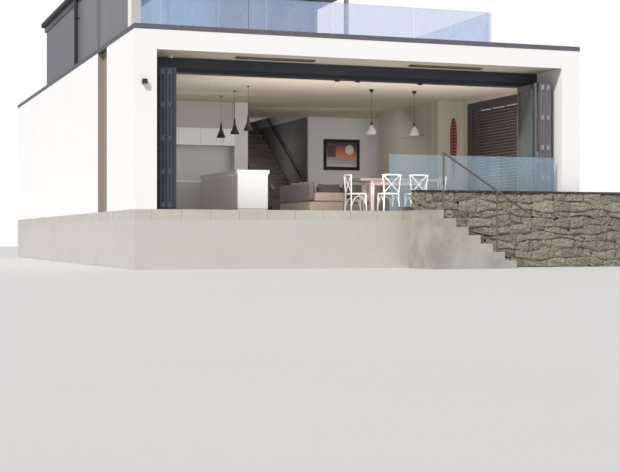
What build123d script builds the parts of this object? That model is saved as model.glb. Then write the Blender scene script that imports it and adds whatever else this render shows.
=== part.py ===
from build123d import *
import math
import os

# Two-storey beach house, seen from its garden front.
# X runs along the front from the left outer face, Y runs back from the front face,
# Z runs up from the lowest ground that the base walls stand on. Millimetres.
# At the end every piece is moved so that the origin is the middle of the footprint.

# House frame
house_width = 10000
house_depth = 17600
floor_level = 1200        # ground floor above the lowest ground
floor_thickness = 200
wall_thickness = 220
pier_width = 448
soffit_height = 3165      # porch soffit above the ground floor
ceiling_height = 2950     # room ceiling above the ground floor
frame_height = 3560       # top of the white frame above the ground floor
capping_height = 100
capping_width = 300
capping_overhang = 5
capping_joint = 6         # between the front capping and the side ones
paving_thickness = 40
base_wall_thickness = 300

# Folding doors
beam_depth = 240
beam_drop = 310           # door head beam below the porch soffit
track_depth = 44
track_height = 52
leaf_count_left = 5
leaf_count_right = 4
leaf_front_gap = 202      # folded leaves behind the front face
leaf_thickness = 62
leaf_gap = 9              # between folded leaves
leaf_stile = 75
leaf_rail = 110
leaf_glass_thickness = 24
leaf_clearance = 14       # above the floor and under the track
left_stack_clearance = 100     # first folded leaf to its pier
right_stack_clearance = 160
access_leaf_angle = 4.5
access_leaf_gap = 8
hinge_height = 100
hinge_diameter = 18
hinge_sides = 8
hinge_plate_width = 56
hinge_plate_thickness = 5
hinge_rows = 5
hinge_end_margin = 35
pin_diameter = 16
handle_length = 250
handle_diameter = 22
handle_standoff = 40
handle_post_diameter = 15
handle_post_inset = 35        # from the ends of the handle
handle_height = 1090

# Side wall recess and louvred window
slot_start = 2820
slot_width = 1040
slot_depth = 120
window_start = 2400
window_width = 2730
window_height = 2860
window_frame = 60
window_frame_depth = 120
shutter_stile = 480
shutter_head = 150            # deep top rail of the shutters
shutter_bays = 3
shutter_mullion = 30
shutter_mullion_depth = 40
louvre_pitch = 75
louvre_chord = 84
louvre_thickness = 12
louvre_tilt = -50
shutter_handle_length = 800
shutter_handle_height = 1920
shutter_handle_size = 22
shutter_handle_inset = 210     # from the louvres' edge

# Terrace and garden side
terrace_glass_start = 5470
terrace_glass_end_gap = 112   # last sheet to the right pier
terrace_glass_setback = 100
terrace_glass_height = 1200
terrace_glass_panels = 3
glass_thickness = 15
glass_joint = 14
channel_width = 70
channel_height = 90
channel_floor = 20
stone_wall_start = 5900
stone_wall_overrun = 1500     # past the right end of the house
stone_wall_thickness = 350
stone_wall_height = 440       # above the ground floor
steps_start = 6005
steps_width = 1100
step_count = 7
step_going = 275
steps_landing = 300
rail_height = 1165
rail_diameter = 42
rail_post_distance = 1210     # between the two posts
rail_edge_distance = 60

# Upper storey
upper_floor_to_soffit = 2450
deck_glass_height = 1180
deck_glass_front = 2580       # from the front face
deck_glass_left = 1160
deck_glass_right_inset = 890  # from the right outer face
deck_glass_panels = 4
deck_glass_return_panels = 4
blade_wall_front = 4620
blade_wall_depth = 390
blade_wall_width = 230
upper_wall_left = 920
upper_wall_thickness = 200
upper_right_thickness = 120
upper_front = 7340
upper_cross_lead = 550        # cross wall ahead of the stair
upper_cross_thickness = 150
upper_glazing_right_inset = 3600
upper_block_right_inset = 2410
glazing_frame = 60
glazing_depth = 90
glazing_corner_joint = 8
glazing_glass_thickness = 20
glazing_front_bays = 4
glazing_side_bays = 2
roof_front = 4400
roof_left_overhang = 40
roof_right_overhang = 90
roof_rear_overhang = 180
roof_thickness = 280
gutter_rise = 150             # above the eaves
gutter_height = 130
gutter_width = 110
roof_post_size = 100
roof_post_setback = 570       # behind the upper glazed front
batten_width = 90
batten_depth = 60
batten_position = 8520
downpipe_position = 11560
downpipe_diameter = 105
downpipe_sides = 16
downpipe_bracket_heights = (500, 1950)
downpipe_bracket_size = 40

# Rear windows
rear_window_width = 1600
rear_window_bays = 2
rear_window_left = 1000
rear_window_spacing = 2700
rear_window_right_inset = 350     # from the inner face of the right wall
rear_window_sill = 900
rear_window_height = 1500
upper_window_left = 1900
upper_window_right_inset = 900    # from the right face of the upper storey
upper_window_sill = 700
upper_window_height = 1400

# Rooms on the ground floor
kitchen_back = 7500           # front of the rear kitchen units
kitchen_unit_depth = 620
kitchen_right = 4250
column_width = 360
bench_height = 900
overhead_bottom = 1820
overhead_top = 2260
overhead_depth = 380          # cupboards in front of the splashback
bulkhead_setback = 60
island_left = 3090
island_width = 720
island_front = 3300
island_length = 3200
island_height = 980
island_top_thickness = 80
island_top_overhang = 30
stair_left_inset = 3280       # from the inner face of the right wall
stair_width = 950
stair_riser = 176             # upper limit
stair_going = 280
stair_rear_landing = 830
stair_void_margin = 50
stair_wall_gap = 20
stair_rail_height = 1000
stair_rail_goings = 15
stair_rail_diameter = 45
stair_rail_gap = 50
stair_rail_brackets = 3
stair_bracket_size = 22
picture_wall_lead = 100       # ahead of the first step
picture_wall_thickness = 120
joinery_width = 726
joinery_front = 5360
passage_width = 1540          # joinery to the picture wall
picture_width = 1128
picture_height = 902
picture_margin = 471          # from the free end of its wall
picture_bottom = 1415
picture_depth = 40
picture_frame_width = 95
canvas_depth = 20
board_width = 185
board_length = 1575
board_belly = 1050            # widest point above the lower tip
board_bottom = 938
board_thickness = 30
board_setback = 434           # board's centreline to the joinery corner

# Lamps and furniture
cone_lamp_x = 3475
cone_lamp_y = (3740, 4850, 6050)
cone_lamp_diameter = 225
cone_lamp_height = 370
cone_lamp_bottom = 1912
glass_lamp_x = (6440, 7545)
glass_lamp_y = 3460
glass_lamp_diameter = 270
glass_lamp_height = 300
glass_lamp_bottom = 1885
lamp_sides = 16
lamp_wall = 5
lamp_neck_diameter = 30
lamp_cap_thickness = 15
lamp_rod_diameter = 12
lamp_rose_diameter = 110
lamp_rose_height = 30
table_left = 5760
table_near = 2450
table_length = 2050
table_width = 900
table_height = 800
table_top_thickness = 68
table_leg_size = 100
table_leg_end_inset = 310
table_leg_side_inset = 150
chair_seat_height = 460
chair_seat_width = 460
chair_seat_depth = 430
chair_seat_thickness = 35
chair_seat_radius = 70
chair_back_height = 890
chair_back_width = 470
chair_rail_height = 55
chair_bar = 30
chair_stretcher_height = 210
chair_stretcher_width = 16
end_chair_tuck = 220          # reach of the end chairs under the table
side_chair_tuck = 130
side_chair_offsets = (644, 1319)    # from the table's left end
left_chair_shift = 155        # left end chair off the table's middle, towards the garden
sofa_left = 5030
sofa_near = 3900
sofa_length = 2300            # along the side with its back to the kitchen
sofa_depth = 920
sofa_return_length = 1350     # along the rear, past the side part
sofa_base_height = 300
sofa_back_height = 780
sofa_back_thickness = 140
sofa_arm_height = 505
sofa_arm_width = 180
side_seats = 2
return_seats = 2
cushion_height = 140
cushion_clearance = 4
back_cushion_height = 370
back_cushion_thickness = 170
heater_length = 1700
heater_width = 170
heater_depth = 35
heater_setback = 480          # behind the front face
heater_left = (2250, 6150)
pier_lamp_height = 2466
pier_lamp_size = 96
pier_lamp_depth = 96
pier_lamp_offset = 193        # from the left outer face
camera_offset = 490           # from the pier's inner face along the soffit
camera_setback = 900
camera_diameter = 110
camera_drop = 85

# Values that follow from the sizes above
floor = floor_level
soffit = floor + soffit_height
ceiling = floor + ceiling_height
frame_top = floor + frame_height
capping_top = frame_top + capping_height
deck = frame_top + paving_thickness
eaves = deck + upper_floor_to_soffit
roof_top = eaves + roof_thickness
inner_left = wall_thickness
inner_right = house_width - wall_thickness
inner_back = house_depth - wall_thickness
beam_bottom = soffit - beam_drop
opening_left = pier_width
opening_right = house_width - pier_width
leaf_total = leaf_count_left + leaf_count_right + 1
leaf_width = (opening_right - opening_left) / leaf_total
porch_depth = leaf_front_gap + leaf_width     # front face to the front of the door head beam
beam_back = porch_depth + beam_depth
leaf_bottom = floor + leaf_clearance
leaf_top = beam_bottom - leaf_clearance
leaf_back = porch_depth
leaf_front = leaf_back - leaf_width
leaf_pitch = leaf_thickness + leaf_gap
track_front = porch_depth - track_depth
deck_glass_right = house_width - deck_glass_right_inset
upper_glazing_right = house_width - upper_glazing_right_inset
upper_block_right = house_width - upper_block_right_inset
stair_count = int((deck - floor) / stair_riser)
stair_rise = (deck - floor) / (stair_count + 1)
stair_run = stair_going * stair_count
stair_start = inner_back - stair_rear_landing - stair_run
stair_left = inner_right - stair_left_inset
picture_wall = stair_start - picture_wall_lead
picture_wall_left = stair_left + stair_width + stair_wall_gap
stair_void_left = stair_left - stair_void_margin
stair_void_right = picture_wall_left
stair_void_back = house_depth - 2 * upper_wall_thickness
upper_cross_wall = stair_start - upper_cross_lead
joinery_left = inner_right - joinery_width
joinery_back = picture_wall - passage_width
upper_inner_left = upper_wall_left + upper_wall_thickness
upper_back = house_depth - upper_wall_thickness
roof_left = upper_wall_left - roof_left_overhang
roof_right = upper_block_right + roof_right_overhang
steps_outer = -stone_wall_thickness - steps_width
step_rise = floor_level / step_count
stone_wall_end = house_width + stone_wall_overrun

pieces = {}


def box(x_from, x_to, y_from, y_to, z_from, z_to, mode=Mode.ADD):
    # A right prism between two corners, added to the part being built.
    with BuildSketch(Plane.XY.offset(z_from)) as plan:
        with Locations(((x_from + x_to) / 2, (y_from + y_to) / 2)):
            Rectangle(x_to - x_from, y_to - y_from)
    extrude(plan.sketch, amount=z_to - z_from, mode=mode)


def evenly(start, end, count):
    # Start points of equal bays between two ends, and the size of one bay.
    bay = (end - start) / count
    return [start + bay * index for index in range(count)], bay


# Base walls, standing on the lowest ground
with BuildPart() as base_walls:
    box(0, house_width, 0, house_depth, 0, floor - floor_thickness)
    box(base_wall_thickness, house_width - base_wall_thickness, base_wall_thickness,
        house_depth - base_wall_thickness, 0, floor - floor_thickness, mode=Mode.SUBTRACT)
pieces["base_walls"] = base_walls

with BuildPart() as floor_slab:
    box(0, house_width, 0, house_depth, floor - floor_thickness, floor)
pieces["floor_slab"] = floor_slab

# White frame round the front opening
with BuildPart() as front_piers:
    box(0, pier_width, 0, beam_back, floor, soffit)
    box(house_width - pier_width, house_width, 0, beam_back, floor, soffit)
pieces["front_piers"] = front_piers

with BuildPart() as front_header:
    box(0, house_width, 0, beam_back, soffit, frame_top)
pieces["front_header"] = front_header

with BuildPart() as door_head_beam:
    box(opening_left, opening_right, porch_depth, beam_back, beam_bottom, soffit)
    box(opening_left, opening_right, track_front, porch_depth, beam_bottom, beam_bottom + track_height)
pieces["door_head_beam"] = door_head_beam

# Side walls of the ground floor
slot_end = slot_start + slot_width
with BuildPart() as left_wall:
    box(0, wall_thickness, beam_back, slot_start, floor, frame_top)
    box(0, wall_thickness, slot_end, inner_back, floor, frame_top)
pieces["left_wall"] = left_wall

with BuildPart() as side_slot_panel:
    box(slot_depth, wall_thickness, slot_start, slot_end, floor, frame_top)
pieces["side_slot_panel"] = side_slot_panel

window_end = window_start + window_width
window_top = floor + window_height
with BuildPart() as right_wall:
    box(inner_right, house_width, beam_back, inner_back, floor, frame_top)
    box(inner_right, house_width, window_start, window_end, floor, window_top, mode=Mode.SUBTRACT)
pieces["right_wall"] = right_wall

rear_sill = floor + rear_window_sill
rear_head = rear_sill + rear_window_height
rear_window_places = (rear_window_left, rear_window_left + rear_window_spacing,
                      inner_right - rear_window_right_inset - rear_window_width)
with BuildPart() as rear_wall:
    box(0, house_width, inner_back, house_depth, floor, frame_top)
    for left in rear_window_places:
        box(left, left + rear_window_width, inner_back, house_depth, rear_sill, rear_head,
            mode=Mode.SUBTRACT)
pieces["rear_wall"] = rear_wall

# First floor with the stair opening
with BuildPart() as first_floor_slab:
    box(inner_left, inner_right, beam_back, inner_back, ceiling, frame_top)
    box(stair_void_left, stair_void_right, stair_start, stair_void_back, ceiling, frame_top,
        mode=Mode.SUBTRACT)
pieces["first_floor_slab"] = first_floor_slab

with BuildPart() as deck_paving:
    box(capping_width, house_width - capping_width, capping_width, house_depth, frame_top, deck)
    box(stair_void_left, stair_void_right, stair_start, stair_void_back, frame_top, deck, mode=Mode.SUBTRACT)
pieces["deck_paving"] = deck_paving

with BuildPart() as parapet_capping:
    box(-capping_overhang, house_width + capping_overhang, -capping_overhang, capping_width,
        frame_top, capping_top)
    for left in (-capping_overhang, house_width - capping_width):
        box(left, left + capping_width + capping_overhang, capping_width + capping_joint, house_depth,
            frame_top, capping_top)
pieces["parapet_capping"] = parapet_capping

# Folding door leaves, folded outwards at both ends of the opening
left_stack = [opening_left + left_stack_clearance + leaf_pitch * index for index in range(leaf_count_left)]
right_stack = [opening_right - right_stack_clearance - leaf_thickness - leaf_pitch * index
               for index in range(leaf_count_right)]
access_hinge_x = right_stack[-1] - access_leaf_gap - leaf_thickness


def leaf_outline(inset_side, inset_rail):
    # The leaf seen square on: depth along the sketch's x, height along its y.
    with BuildSketch() as outline:
        with Locations((leaf_width / 2, (leaf_bottom + leaf_top) / 2)):
            Rectangle(leaf_width - 2 * inset_side, leaf_top - leaf_bottom - 2 * inset_rail)
    return outline.sketch


def leaf_plane(left):
    # Sketch plane of a folded leaf, with x running back from its near end.
    return Plane(origin=(left, leaf_front, 0), x_dir=(0, 1, 0), z_dir=(1, 0, 0))


access_face = Plane(origin=(access_hinge_x, leaf_back, 0),
                    x_dir=(math.sin(math.radians(access_leaf_angle)),
                           math.cos(math.radians(access_leaf_angle)), 0),
                    z_dir=(math.cos(math.radians(access_leaf_angle)),
                           -math.sin(math.radians(access_leaf_angle)), 0))
access_face = access_face.shift_origin(access_face.from_local_coords((-leaf_width, 0, 0)))


def leaf_frame(plane):
    extrude(plane * (leaf_outline(0, 0) - leaf_outline(leaf_stile, leaf_rail)), amount=leaf_thickness)


def leaf_pane(plane):
    pane = plane.offset((leaf_thickness - leaf_glass_thickness) / 2)
    extrude(pane * leaf_outline(leaf_stile, leaf_rail), amount=leaf_glass_thickness)


with BuildPart() as left_door_leaves:
    for left in left_stack:
        leaf_frame(leaf_plane(left))
pieces["left_door_leaves"] = left_door_leaves

with BuildPart() as right_door_leaves:
    for left in right_stack:
        leaf_frame(leaf_plane(left))
    leaf_frame(access_face)
pieces["right_door_leaves"] = right_door_leaves

with BuildPart() as door_glass:
    for left in left_stack + right_stack:
        leaf_pane(leaf_plane(left))
    leaf_pane(access_face)
pieces["door_glass"] = door_glass

# Hinges bridge two leaves, on their near ends and on their far ends in turn
hinge_first = leaf_bottom + hinge_end_margin
hinge_step = (leaf_top - leaf_bottom - 2 * hinge_end_margin - hinge_height) / (hinge_rows - 1)
hinge_heights = [hinge_first + hinge_step * row for row in range(hinge_rows)]


def hinge(centre_x, end_y, outward):
    # Plate and knuckle on the ends of two leaves; outward is -1 at the near ends.
    for height in hinge_heights:
        with BuildSketch(Plane.XY.offset(height)) as knuckle:
            with Locations((centre_x, end_y + outward * hinge_plate_thickness / 2)):
                Rectangle(hinge_plate_width, hinge_plate_thickness)
            with Locations((centre_x, end_y + outward * hinge_diameter / 2)):
                RegularPolygon(hinge_diameter / 2, hinge_sides)
        extrude(knuckle.sketch, amount=hinge_height)


def stack_hinges(stack):
    # Leaves are hinged in pairs at the near end and pair to pair at the far end.
    for index, (first, second) in enumerate(zip(stack, stack[1:])):
        middle = (first + second + leaf_thickness) / 2
        near = index % 2 == 0
        hinge(middle, leaf_front if near else leaf_back, -1 if near else 1)


# Pins carry the stacks under the track and guide them on the floor
pin_y = (track_front + leaf_back) / 2
access_pin = access_face.from_local_coords((leaf_width - track_depth / 2, 0, leaf_thickness / 2))
pin_places = [(left + leaf_thickness / 2, pin_y) for left in (left_stack[::2] + right_stack[::2])]
pin_places.append((access_pin.X, access_pin.Y))
with BuildPart() as door_hardware:
    stack_hinges(left_stack)
    stack_hinges(sorted(right_stack))
    for bottom, top in ((floor, leaf_bottom), (leaf_top, beam_bottom)):
        with BuildSketch(Plane.XY.offset(bottom)) as pins:
            with Locations(*pin_places):
                Circle(pin_diameter / 2)
        extrude(pins.sketch, amount=top - bottom)
    # Pull handle on the free stile of the access leaf, on the side of its stack
    handle_face = access_face.shift_origin(access_face.from_local_coords((leaf_stile / 2, 0, 0)))
    grip = handle_face.offset(leaf_thickness + handle_standoff)
    bar_plane = Plane(origin=grip.from_local_coords((0, floor + handle_height, 0)), z_dir=(0, 0, 1))
    with BuildSketch(bar_plane) as bar:
        Circle(handle_diameter / 2)
    extrude(bar.sketch, amount=handle_length)
    for inset in (handle_post_inset, handle_length - handle_post_inset):
        foot = grip.from_local_coords((0, floor + handle_height + inset, 0))
        with BuildSketch(Plane(origin=foot, x_dir=(0, 0, 1), z_dir=access_face.z_dir)) as post:
            Circle(handle_post_diameter / 2)
        extrude(post.sketch, amount=-handle_standoff)
pieces["door_hardware"] = door_hardware

# Louvred window in the right wall, with a deep head rail and a wide stile at its rear
sill = floor
louvre_start = window_start + window_frame
louvre_end = window_end - window_frame - shutter_stile
louvre_foot = sill + window_frame
louvre_top = window_top - window_frame - shutter_head
louvre_room = louvre_top - louvre_foot - louvre_chord
louvre_count = int(louvre_room / louvre_pitch) + 1
louvre_first = louvre_foot + (louvre_room - louvre_pitch * (louvre_count - 1) + louvre_chord) / 2
louvre_middle = inner_right + window_frame_depth / 2
with BuildPart() as louvred_shutter:
    with BuildSketch(Plane.YZ.offset(inner_right)) as window_outline:
        with Locations(((window_start + window_end) / 2, (sill + window_top) / 2)):
            Rectangle(window_width, window_height)
        with Locations(((louvre_start + louvre_end) / 2, (louvre_foot + louvre_top) / 2)):
            Rectangle(louvre_end - louvre_start, louvre_top - louvre_foot, mode=Mode.SUBTRACT)
    extrude(window_outline.sketch, amount=window_frame_depth)
    with BuildSketch(Plane.XZ.offset(-louvre_start)) as blades:
        for row in range(louvre_count):
            with Locations(Location((louvre_middle, louvre_first + louvre_pitch * row, 0), louvre_tilt)):
                Rectangle(louvre_chord, louvre_thickness)
    extrude(blades.sketch, amount=louvre_start - louvre_end)
    # Slim mullions in the middle of the louvres' depth
    bay_starts, bay_width = evenly(louvre_start, louvre_end, shutter_bays)
    for start in bay_starts[1:]:
        box(louvre_middle - shutter_mullion_depth / 2, louvre_middle + shutter_mullion_depth / 2,
            start - shutter_mullion / 2, start + shutter_mullion / 2, louvre_foot, louvre_top)
    handle_y = louvre_end + shutter_handle_inset
    box(inner_right - shutter_handle_size, inner_right, handle_y, handle_y + shutter_handle_size,
        floor + shutter_handle_height, floor + shutter_handle_height + shutter_handle_length)
pieces["louvred_shutter"] = louvred_shutter


def channel(plane, length):
    # Glass channel: a U section whose slot takes the sheet, swept along x of the plane.
    with BuildSketch(plane) as section:
        with Locations((0, channel_height / 2)):
            Rectangle(channel_width, channel_height)
        with Locations((0, channel_floor + channel_height / 2)):
            Rectangle(glass_thickness, channel_height, mode=Mode.SUBTRACT)
    extrude(section.sketch, amount=length)


def along_x(y, base):
    return Plane(origin=(0, y, base), x_dir=(0, 1, 0), z_dir=(1, 0, 0))


def along_y(x, base):
    return Plane(origin=(x, 0, base), x_dir=(-1, 0, 0), z_dir=(0, 1, 0))


def glass_bays(start, end, count):
    # Sheets of equal length with an open joint between them.
    bay = (end - start - glass_joint * (count - 1)) / count
    return [(start + (bay + glass_joint) * index, start + (bay + glass_joint) * index + bay)
            for index in range(count)]


# Glass balustrade in the front opening
terrace_glass_y = terrace_glass_setback
terrace_glass_end = opening_right - terrace_glass_end_gap
with BuildPart() as balustrade_glass:
    for start, end in glass_bays(terrace_glass_start, terrace_glass_end, terrace_glass_panels):
        box(start, end, terrace_glass_y - glass_thickness / 2, terrace_glass_y + glass_thickness / 2,
            floor + channel_floor, floor + terrace_glass_height)

# Stone wall, garden steps and their rail
with BuildPart() as stone_wall:
    box(stone_wall_start, stone_wall_end, -stone_wall_thickness, 0, 0, floor + stone_wall_height)
pieces["stone_wall"] = stone_wall

with BuildPart() as garden_steps:
    with BuildSketch(Plane.XZ.offset(stone_wall_thickness)) as flight:
        with BuildLine():
            outline = [(steps_start - steps_landing, 0), (steps_start - steps_landing, floor)]
            for step in range(step_count - 1):
                edge = steps_start + step_going * step
                outline += [(edge, floor - step_rise * step), (edge, floor - step_rise * (step + 1))]
            last = steps_start + step_going * (step_count - 1)
            outline += [(last, step_rise), (last, 0)]
            Polyline(*outline, close=True)
        make_face()
    extrude(flight.sketch, amount=steps_width)
pieces["garden_steps"] = garden_steps

rail_y = steps_outer + rail_edge_distance
rail_run = step_going * step_count
rail_fall = step_rise * step_count
with BuildPart() as steps_rail:
    with BuildLine() as slope:
        Line((steps_start, rail_y, floor + rail_height),
             (steps_start + rail_run, rail_y, floor + rail_height - rail_fall))
    with BuildSketch(Plane(origin=slope.line @ 0, z_dir=slope.line % 0)) as tube:
        Circle(rail_diameter / 2)
    sweep(tube.sketch, path=slope.line)
    for distance in (0, rail_post_distance):
        post_x = steps_start + distance + rail_diameter / 2
        tread = floor - step_rise * math.ceil((post_x - steps_start) / step_going)
        rail_z = floor + rail_height - (post_x - steps_start) / step_going * step_rise
        with BuildSketch(Plane.XY.offset(tread)) as post:
            with Locations((post_x, rail_y)):
                Circle(rail_diameter / 2)
        extrude(post.sketch, amount=rail_z - tread)
pieces["steps_rail"] = steps_rail

# Glass balustrade round the deck
side_glass_front = deck_glass_front + channel_width / 2 + glass_joint
left_return_end = blade_wall_front
right_return_end = upper_cross_wall
with BuildPart() as glass_channels:
    channel(along_x(terrace_glass_y, floor).offset(terrace_glass_start),
            terrace_glass_end - terrace_glass_start)
    channel(along_x(deck_glass_front, deck).offset(deck_glass_left - channel_width / 2),
            deck_glass_right - deck_glass_left + channel_width)
    channel(along_y(deck_glass_left, deck).offset(side_glass_front), left_return_end - side_glass_front)
    channel(along_y(deck_glass_right, deck).offset(side_glass_front), right_return_end - side_glass_front)
pieces["glass_channels"] = glass_channels

glass_foot = deck + channel_floor
glass_head = deck + deck_glass_height
with balustrade_glass:
    for start, end in glass_bays(deck_glass_left - channel_width / 2, deck_glass_right + channel_width / 2,
                                 deck_glass_panels):
        box(start, end, deck_glass_front - glass_thickness / 2, deck_glass_front + glass_thickness / 2,
            glass_foot, glass_head)
    for x, back, count in ((deck_glass_left, left_return_end, 1),
                           (deck_glass_right, right_return_end, deck_glass_return_panels)):
        for start, end in glass_bays(side_glass_front, back, count):
            box(x - glass_thickness / 2, x + glass_thickness / 2, start, end, glass_foot, glass_head)
pieces["balustrade_glass"] = balustrade_glass

# Upper storey walls
blade_back = blade_wall_front + blade_wall_depth
with BuildPart() as upper_blade_wall:
    box(upper_wall_left, upper_wall_left + blade_wall_width, blade_wall_front, blade_back, deck, eaves)
pieces["upper_blade_wall"] = upper_blade_wall

with BuildPart() as upper_left_wall:
    box(upper_wall_left, upper_inner_left, blade_back, house_depth, deck, eaves)
    box(upper_wall_left - batten_depth, upper_wall_left, batten_position, batten_position + batten_width,
        deck, eaves)
pieces["upper_left_wall"] = upper_left_wall

upper_sill = deck + upper_window_sill
upper_head = upper_sill + upper_window_height
upper_window_places = (upper_window_left, upper_block_right - upper_window_right_inset - rear_window_width)
with BuildPart() as upper_inner_walls:
    box(upper_inner_left, upper_block_right, upper_back, house_depth, deck, eaves)
    for left in upper_window_places:
        box(left, left + rear_window_width, upper_back, house_depth, upper_sill, upper_head,
            mode=Mode.SUBTRACT)
    box(upper_inner_left, upper_block_right, upper_cross_wall, upper_cross_wall + upper_cross_thickness,
        deck, eaves)
    box(upper_block_right - upper_right_thickness, upper_block_right,
        upper_cross_wall + upper_cross_thickness, upper_back, deck, eaves)
pieces["upper_inner_walls"] = upper_inner_walls


def glazing_rows(start, end, count):
    # Clear openings between equal mullions, from one end frame to the other.
    bay = (end - start - glazing_frame) / count
    return [(start + glazing_frame + bay * index, start + bay * (index + 1)) for index in range(count)]


def glazing_screen(plane, start, end, bottom, top, count):
    # Frame with equal bays; the plane's x runs along it and its y is up.
    with BuildSketch(plane) as screen:
        with Locations(((start + end) / 2, (bottom + top) / 2)):
            Rectangle(end - start, top - bottom)
        for opening_start, opening_end in glazing_rows(start, end, count):
            with Locations(((opening_start + opening_end) / 2, (bottom + top) / 2)):
                Rectangle(opening_end - opening_start, top - bottom - 2 * glazing_frame, mode=Mode.SUBTRACT)
    extrude(screen.sketch, amount=glazing_depth)


def glazing_panes(plane, start, end, bottom, top, count):
    with BuildSketch(plane.offset((glazing_depth - glazing_glass_thickness) / 2)) as panes:
        for opening_start, opening_end in glazing_rows(start, end, count):
            with Locations(((opening_start + opening_end) / 2, (bottom + top) / 2)):
                Rectangle(opening_end - opening_start, top - bottom - 2 * glazing_frame)
    extrude(panes.sketch, amount=glazing_glass_thickness)


def facing_front(back_y):
    # Plane of a screen whose rear face lies at back_y, seen from the front.
    return Plane(origin=(0, back_y, 0), x_dir=(1, 0, 0), z_dir=(0, -1, 0))


side_screen = Plane(origin=(upper_glazing_right - glazing_depth, 0, 0), x_dir=(0, 1, 0), z_dir=(1, 0, 0))
side_screen_start = upper_front + glazing_depth + glazing_corner_joint
rear_screen = facing_front(house_depth - (wall_thickness - glazing_depth) / 2)
upper_rear_screen = facing_front(house_depth - (upper_wall_thickness - glazing_depth) / 2)
screens = [(facing_front(upper_front + glazing_depth), upper_inner_left, upper_glazing_right,
            deck, eaves, glazing_front_bays),
           (side_screen, side_screen_start, upper_cross_wall, deck, eaves, glazing_side_bays)]
screens += [(rear_screen, left, left + rear_window_width, rear_sill, rear_head, rear_window_bays)
            for left in rear_window_places]
screens += [(upper_rear_screen, left, left + rear_window_width, upper_sill, upper_head, rear_window_bays)
            for left in upper_window_places]

with BuildPart() as window_frames:
    for screen in screens:
        glazing_screen(*screen)
    post_y = upper_front + roof_post_setback
    box(upper_block_right - roof_post_size, upper_block_right, post_y, post_y + roof_post_size, deck, eaves)
pieces["window_frames"] = window_frames

with BuildPart() as window_glass:
    for screen in screens:
        glazing_panes(*screen)
pieces["window_glass"] = window_glass

# Roof, gutter and downpipe
with BuildPart() as upper_roof:
    box(roof_left, roof_right, roof_front, house_depth + roof_rear_overhang, eaves, roof_top)
pieces["upper_roof"] = upper_roof

gutter_bottom = eaves + gutter_rise
with BuildPart() as roof_drainage:
    box(roof_left - gutter_width, roof_left, roof_front, house_depth + roof_rear_overhang,
        gutter_bottom, gutter_bottom + gutter_height)
    pipe_x = roof_left - downpipe_diameter / 2
    with BuildSketch(Plane.XY.offset(deck)) as pipe:
        with Locations((pipe_x, downpipe_position)):
            RegularPolygon(downpipe_diameter / 2, downpipe_sides)
    extrude(pipe.sketch, amount=gutter_bottom - deck)
    for height in downpipe_bracket_heights:
        box(pipe_x, upper_wall_left, downpipe_position - downpipe_bracket_size / 2,
            downpipe_position + downpipe_bracket_size / 2,
            deck + height, deck + height + downpipe_bracket_size)
pieces["roof_drainage"] = roof_drainage

# Kitchen along the rear of the room
unit_back = kitchen_back + kitchen_unit_depth
with BuildPart() as kitchen_units:
    box(inner_left, kitchen_right, kitchen_back, unit_back, floor, floor + bench_height)
    box(inner_left, kitchen_right, kitchen_back + overhead_depth, unit_back,
        floor + bench_height, floor + overhead_bottom)
    box(inner_left, kitchen_right, kitchen_back, unit_back, floor + overhead_bottom, floor + overhead_top)
    box(inner_left, kitchen_right, kitchen_back + bulkhead_setback, unit_back, floor + overhead_top, ceiling)
    box(kitchen_right, kitchen_right + column_width, kitchen_back, unit_back, floor, ceiling)
pieces["kitchen_units"] = kitchen_units

island_top = floor + island_height
with BuildPart() as kitchen_island:
    box(island_left, island_left + island_width, island_front, island_front + island_length,
        floor, island_top - island_top_thickness)
    box(island_left - island_top_overhang, island_left + island_width + island_top_overhang,
        island_front - island_top_overhang, island_front + island_length + island_top_overhang,
        island_top - island_top_thickness, island_top)
pieces["kitchen_island"] = kitchen_island

# Stair beside the picture wall
with BuildPart() as stair_flight:
    with BuildSketch(Plane.YZ.offset(stair_left)) as stair_side:
        with BuildLine():
            outline = [(stair_start, floor)]
            for step in range(stair_count):
                edge = stair_start + stair_going * step
                outline += [(edge, floor + stair_rise * (step + 1)),
                            (edge + stair_going, floor + stair_rise * (step + 1))]
            outline.append((stair_start + stair_run, floor))
            Polyline(*outline, close=True)
        make_face()
    extrude(stair_side.sketch, amount=stair_width)
pieces["stair_flight"] = stair_flight

with BuildPart() as picture_wall_block:
    box(picture_wall_left, inner_right, picture_wall, picture_wall + picture_wall_thickness, floor, ceiling)
pieces["picture_wall"] = picture_wall_block

with BuildPart() as stair_wall:
    box(picture_wall_left, picture_wall_left + picture_wall_thickness,
        picture_wall + picture_wall_thickness, inner_back, floor, ceiling)
pieces["stair_wall"] = stair_wall

stair_rail_x = picture_wall_left - stair_rail_gap - stair_rail_diameter / 2
rail_start = (stair_rail_x, stair_start, floor + stair_rail_height)
rail_end = (stair_rail_x, stair_start + stair_going * stair_rail_goings,
            floor + stair_rail_height + stair_rise * stair_rail_goings)
with BuildPart() as stair_rail:
    with BuildLine() as incline:
        Line(rail_start, rail_end)
    with BuildSketch(Plane(origin=incline.line @ 0, z_dir=incline.line % 0)) as rail_section:
        Circle(stair_rail_diameter / 2)
    sweep(rail_section.sketch, path=incline.line)
    for index in range(stair_rail_brackets):
        place = incline.line @ ((index + 0.5) / stair_rail_brackets)
        box(place.X, picture_wall_left, place.Y - stair_bracket_size / 2, place.Y + stair_bracket_size / 2,
            place.Z - stair_bracket_size / 2, place.Z + stair_bracket_size / 2)
pieces["stair_rail"] = stair_rail

with BuildPart() as joinery_wall:
    box(joinery_left, inner_right, joinery_front, joinery_back, floor, ceiling)
pieces["joinery_wall"] = joinery_wall

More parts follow.
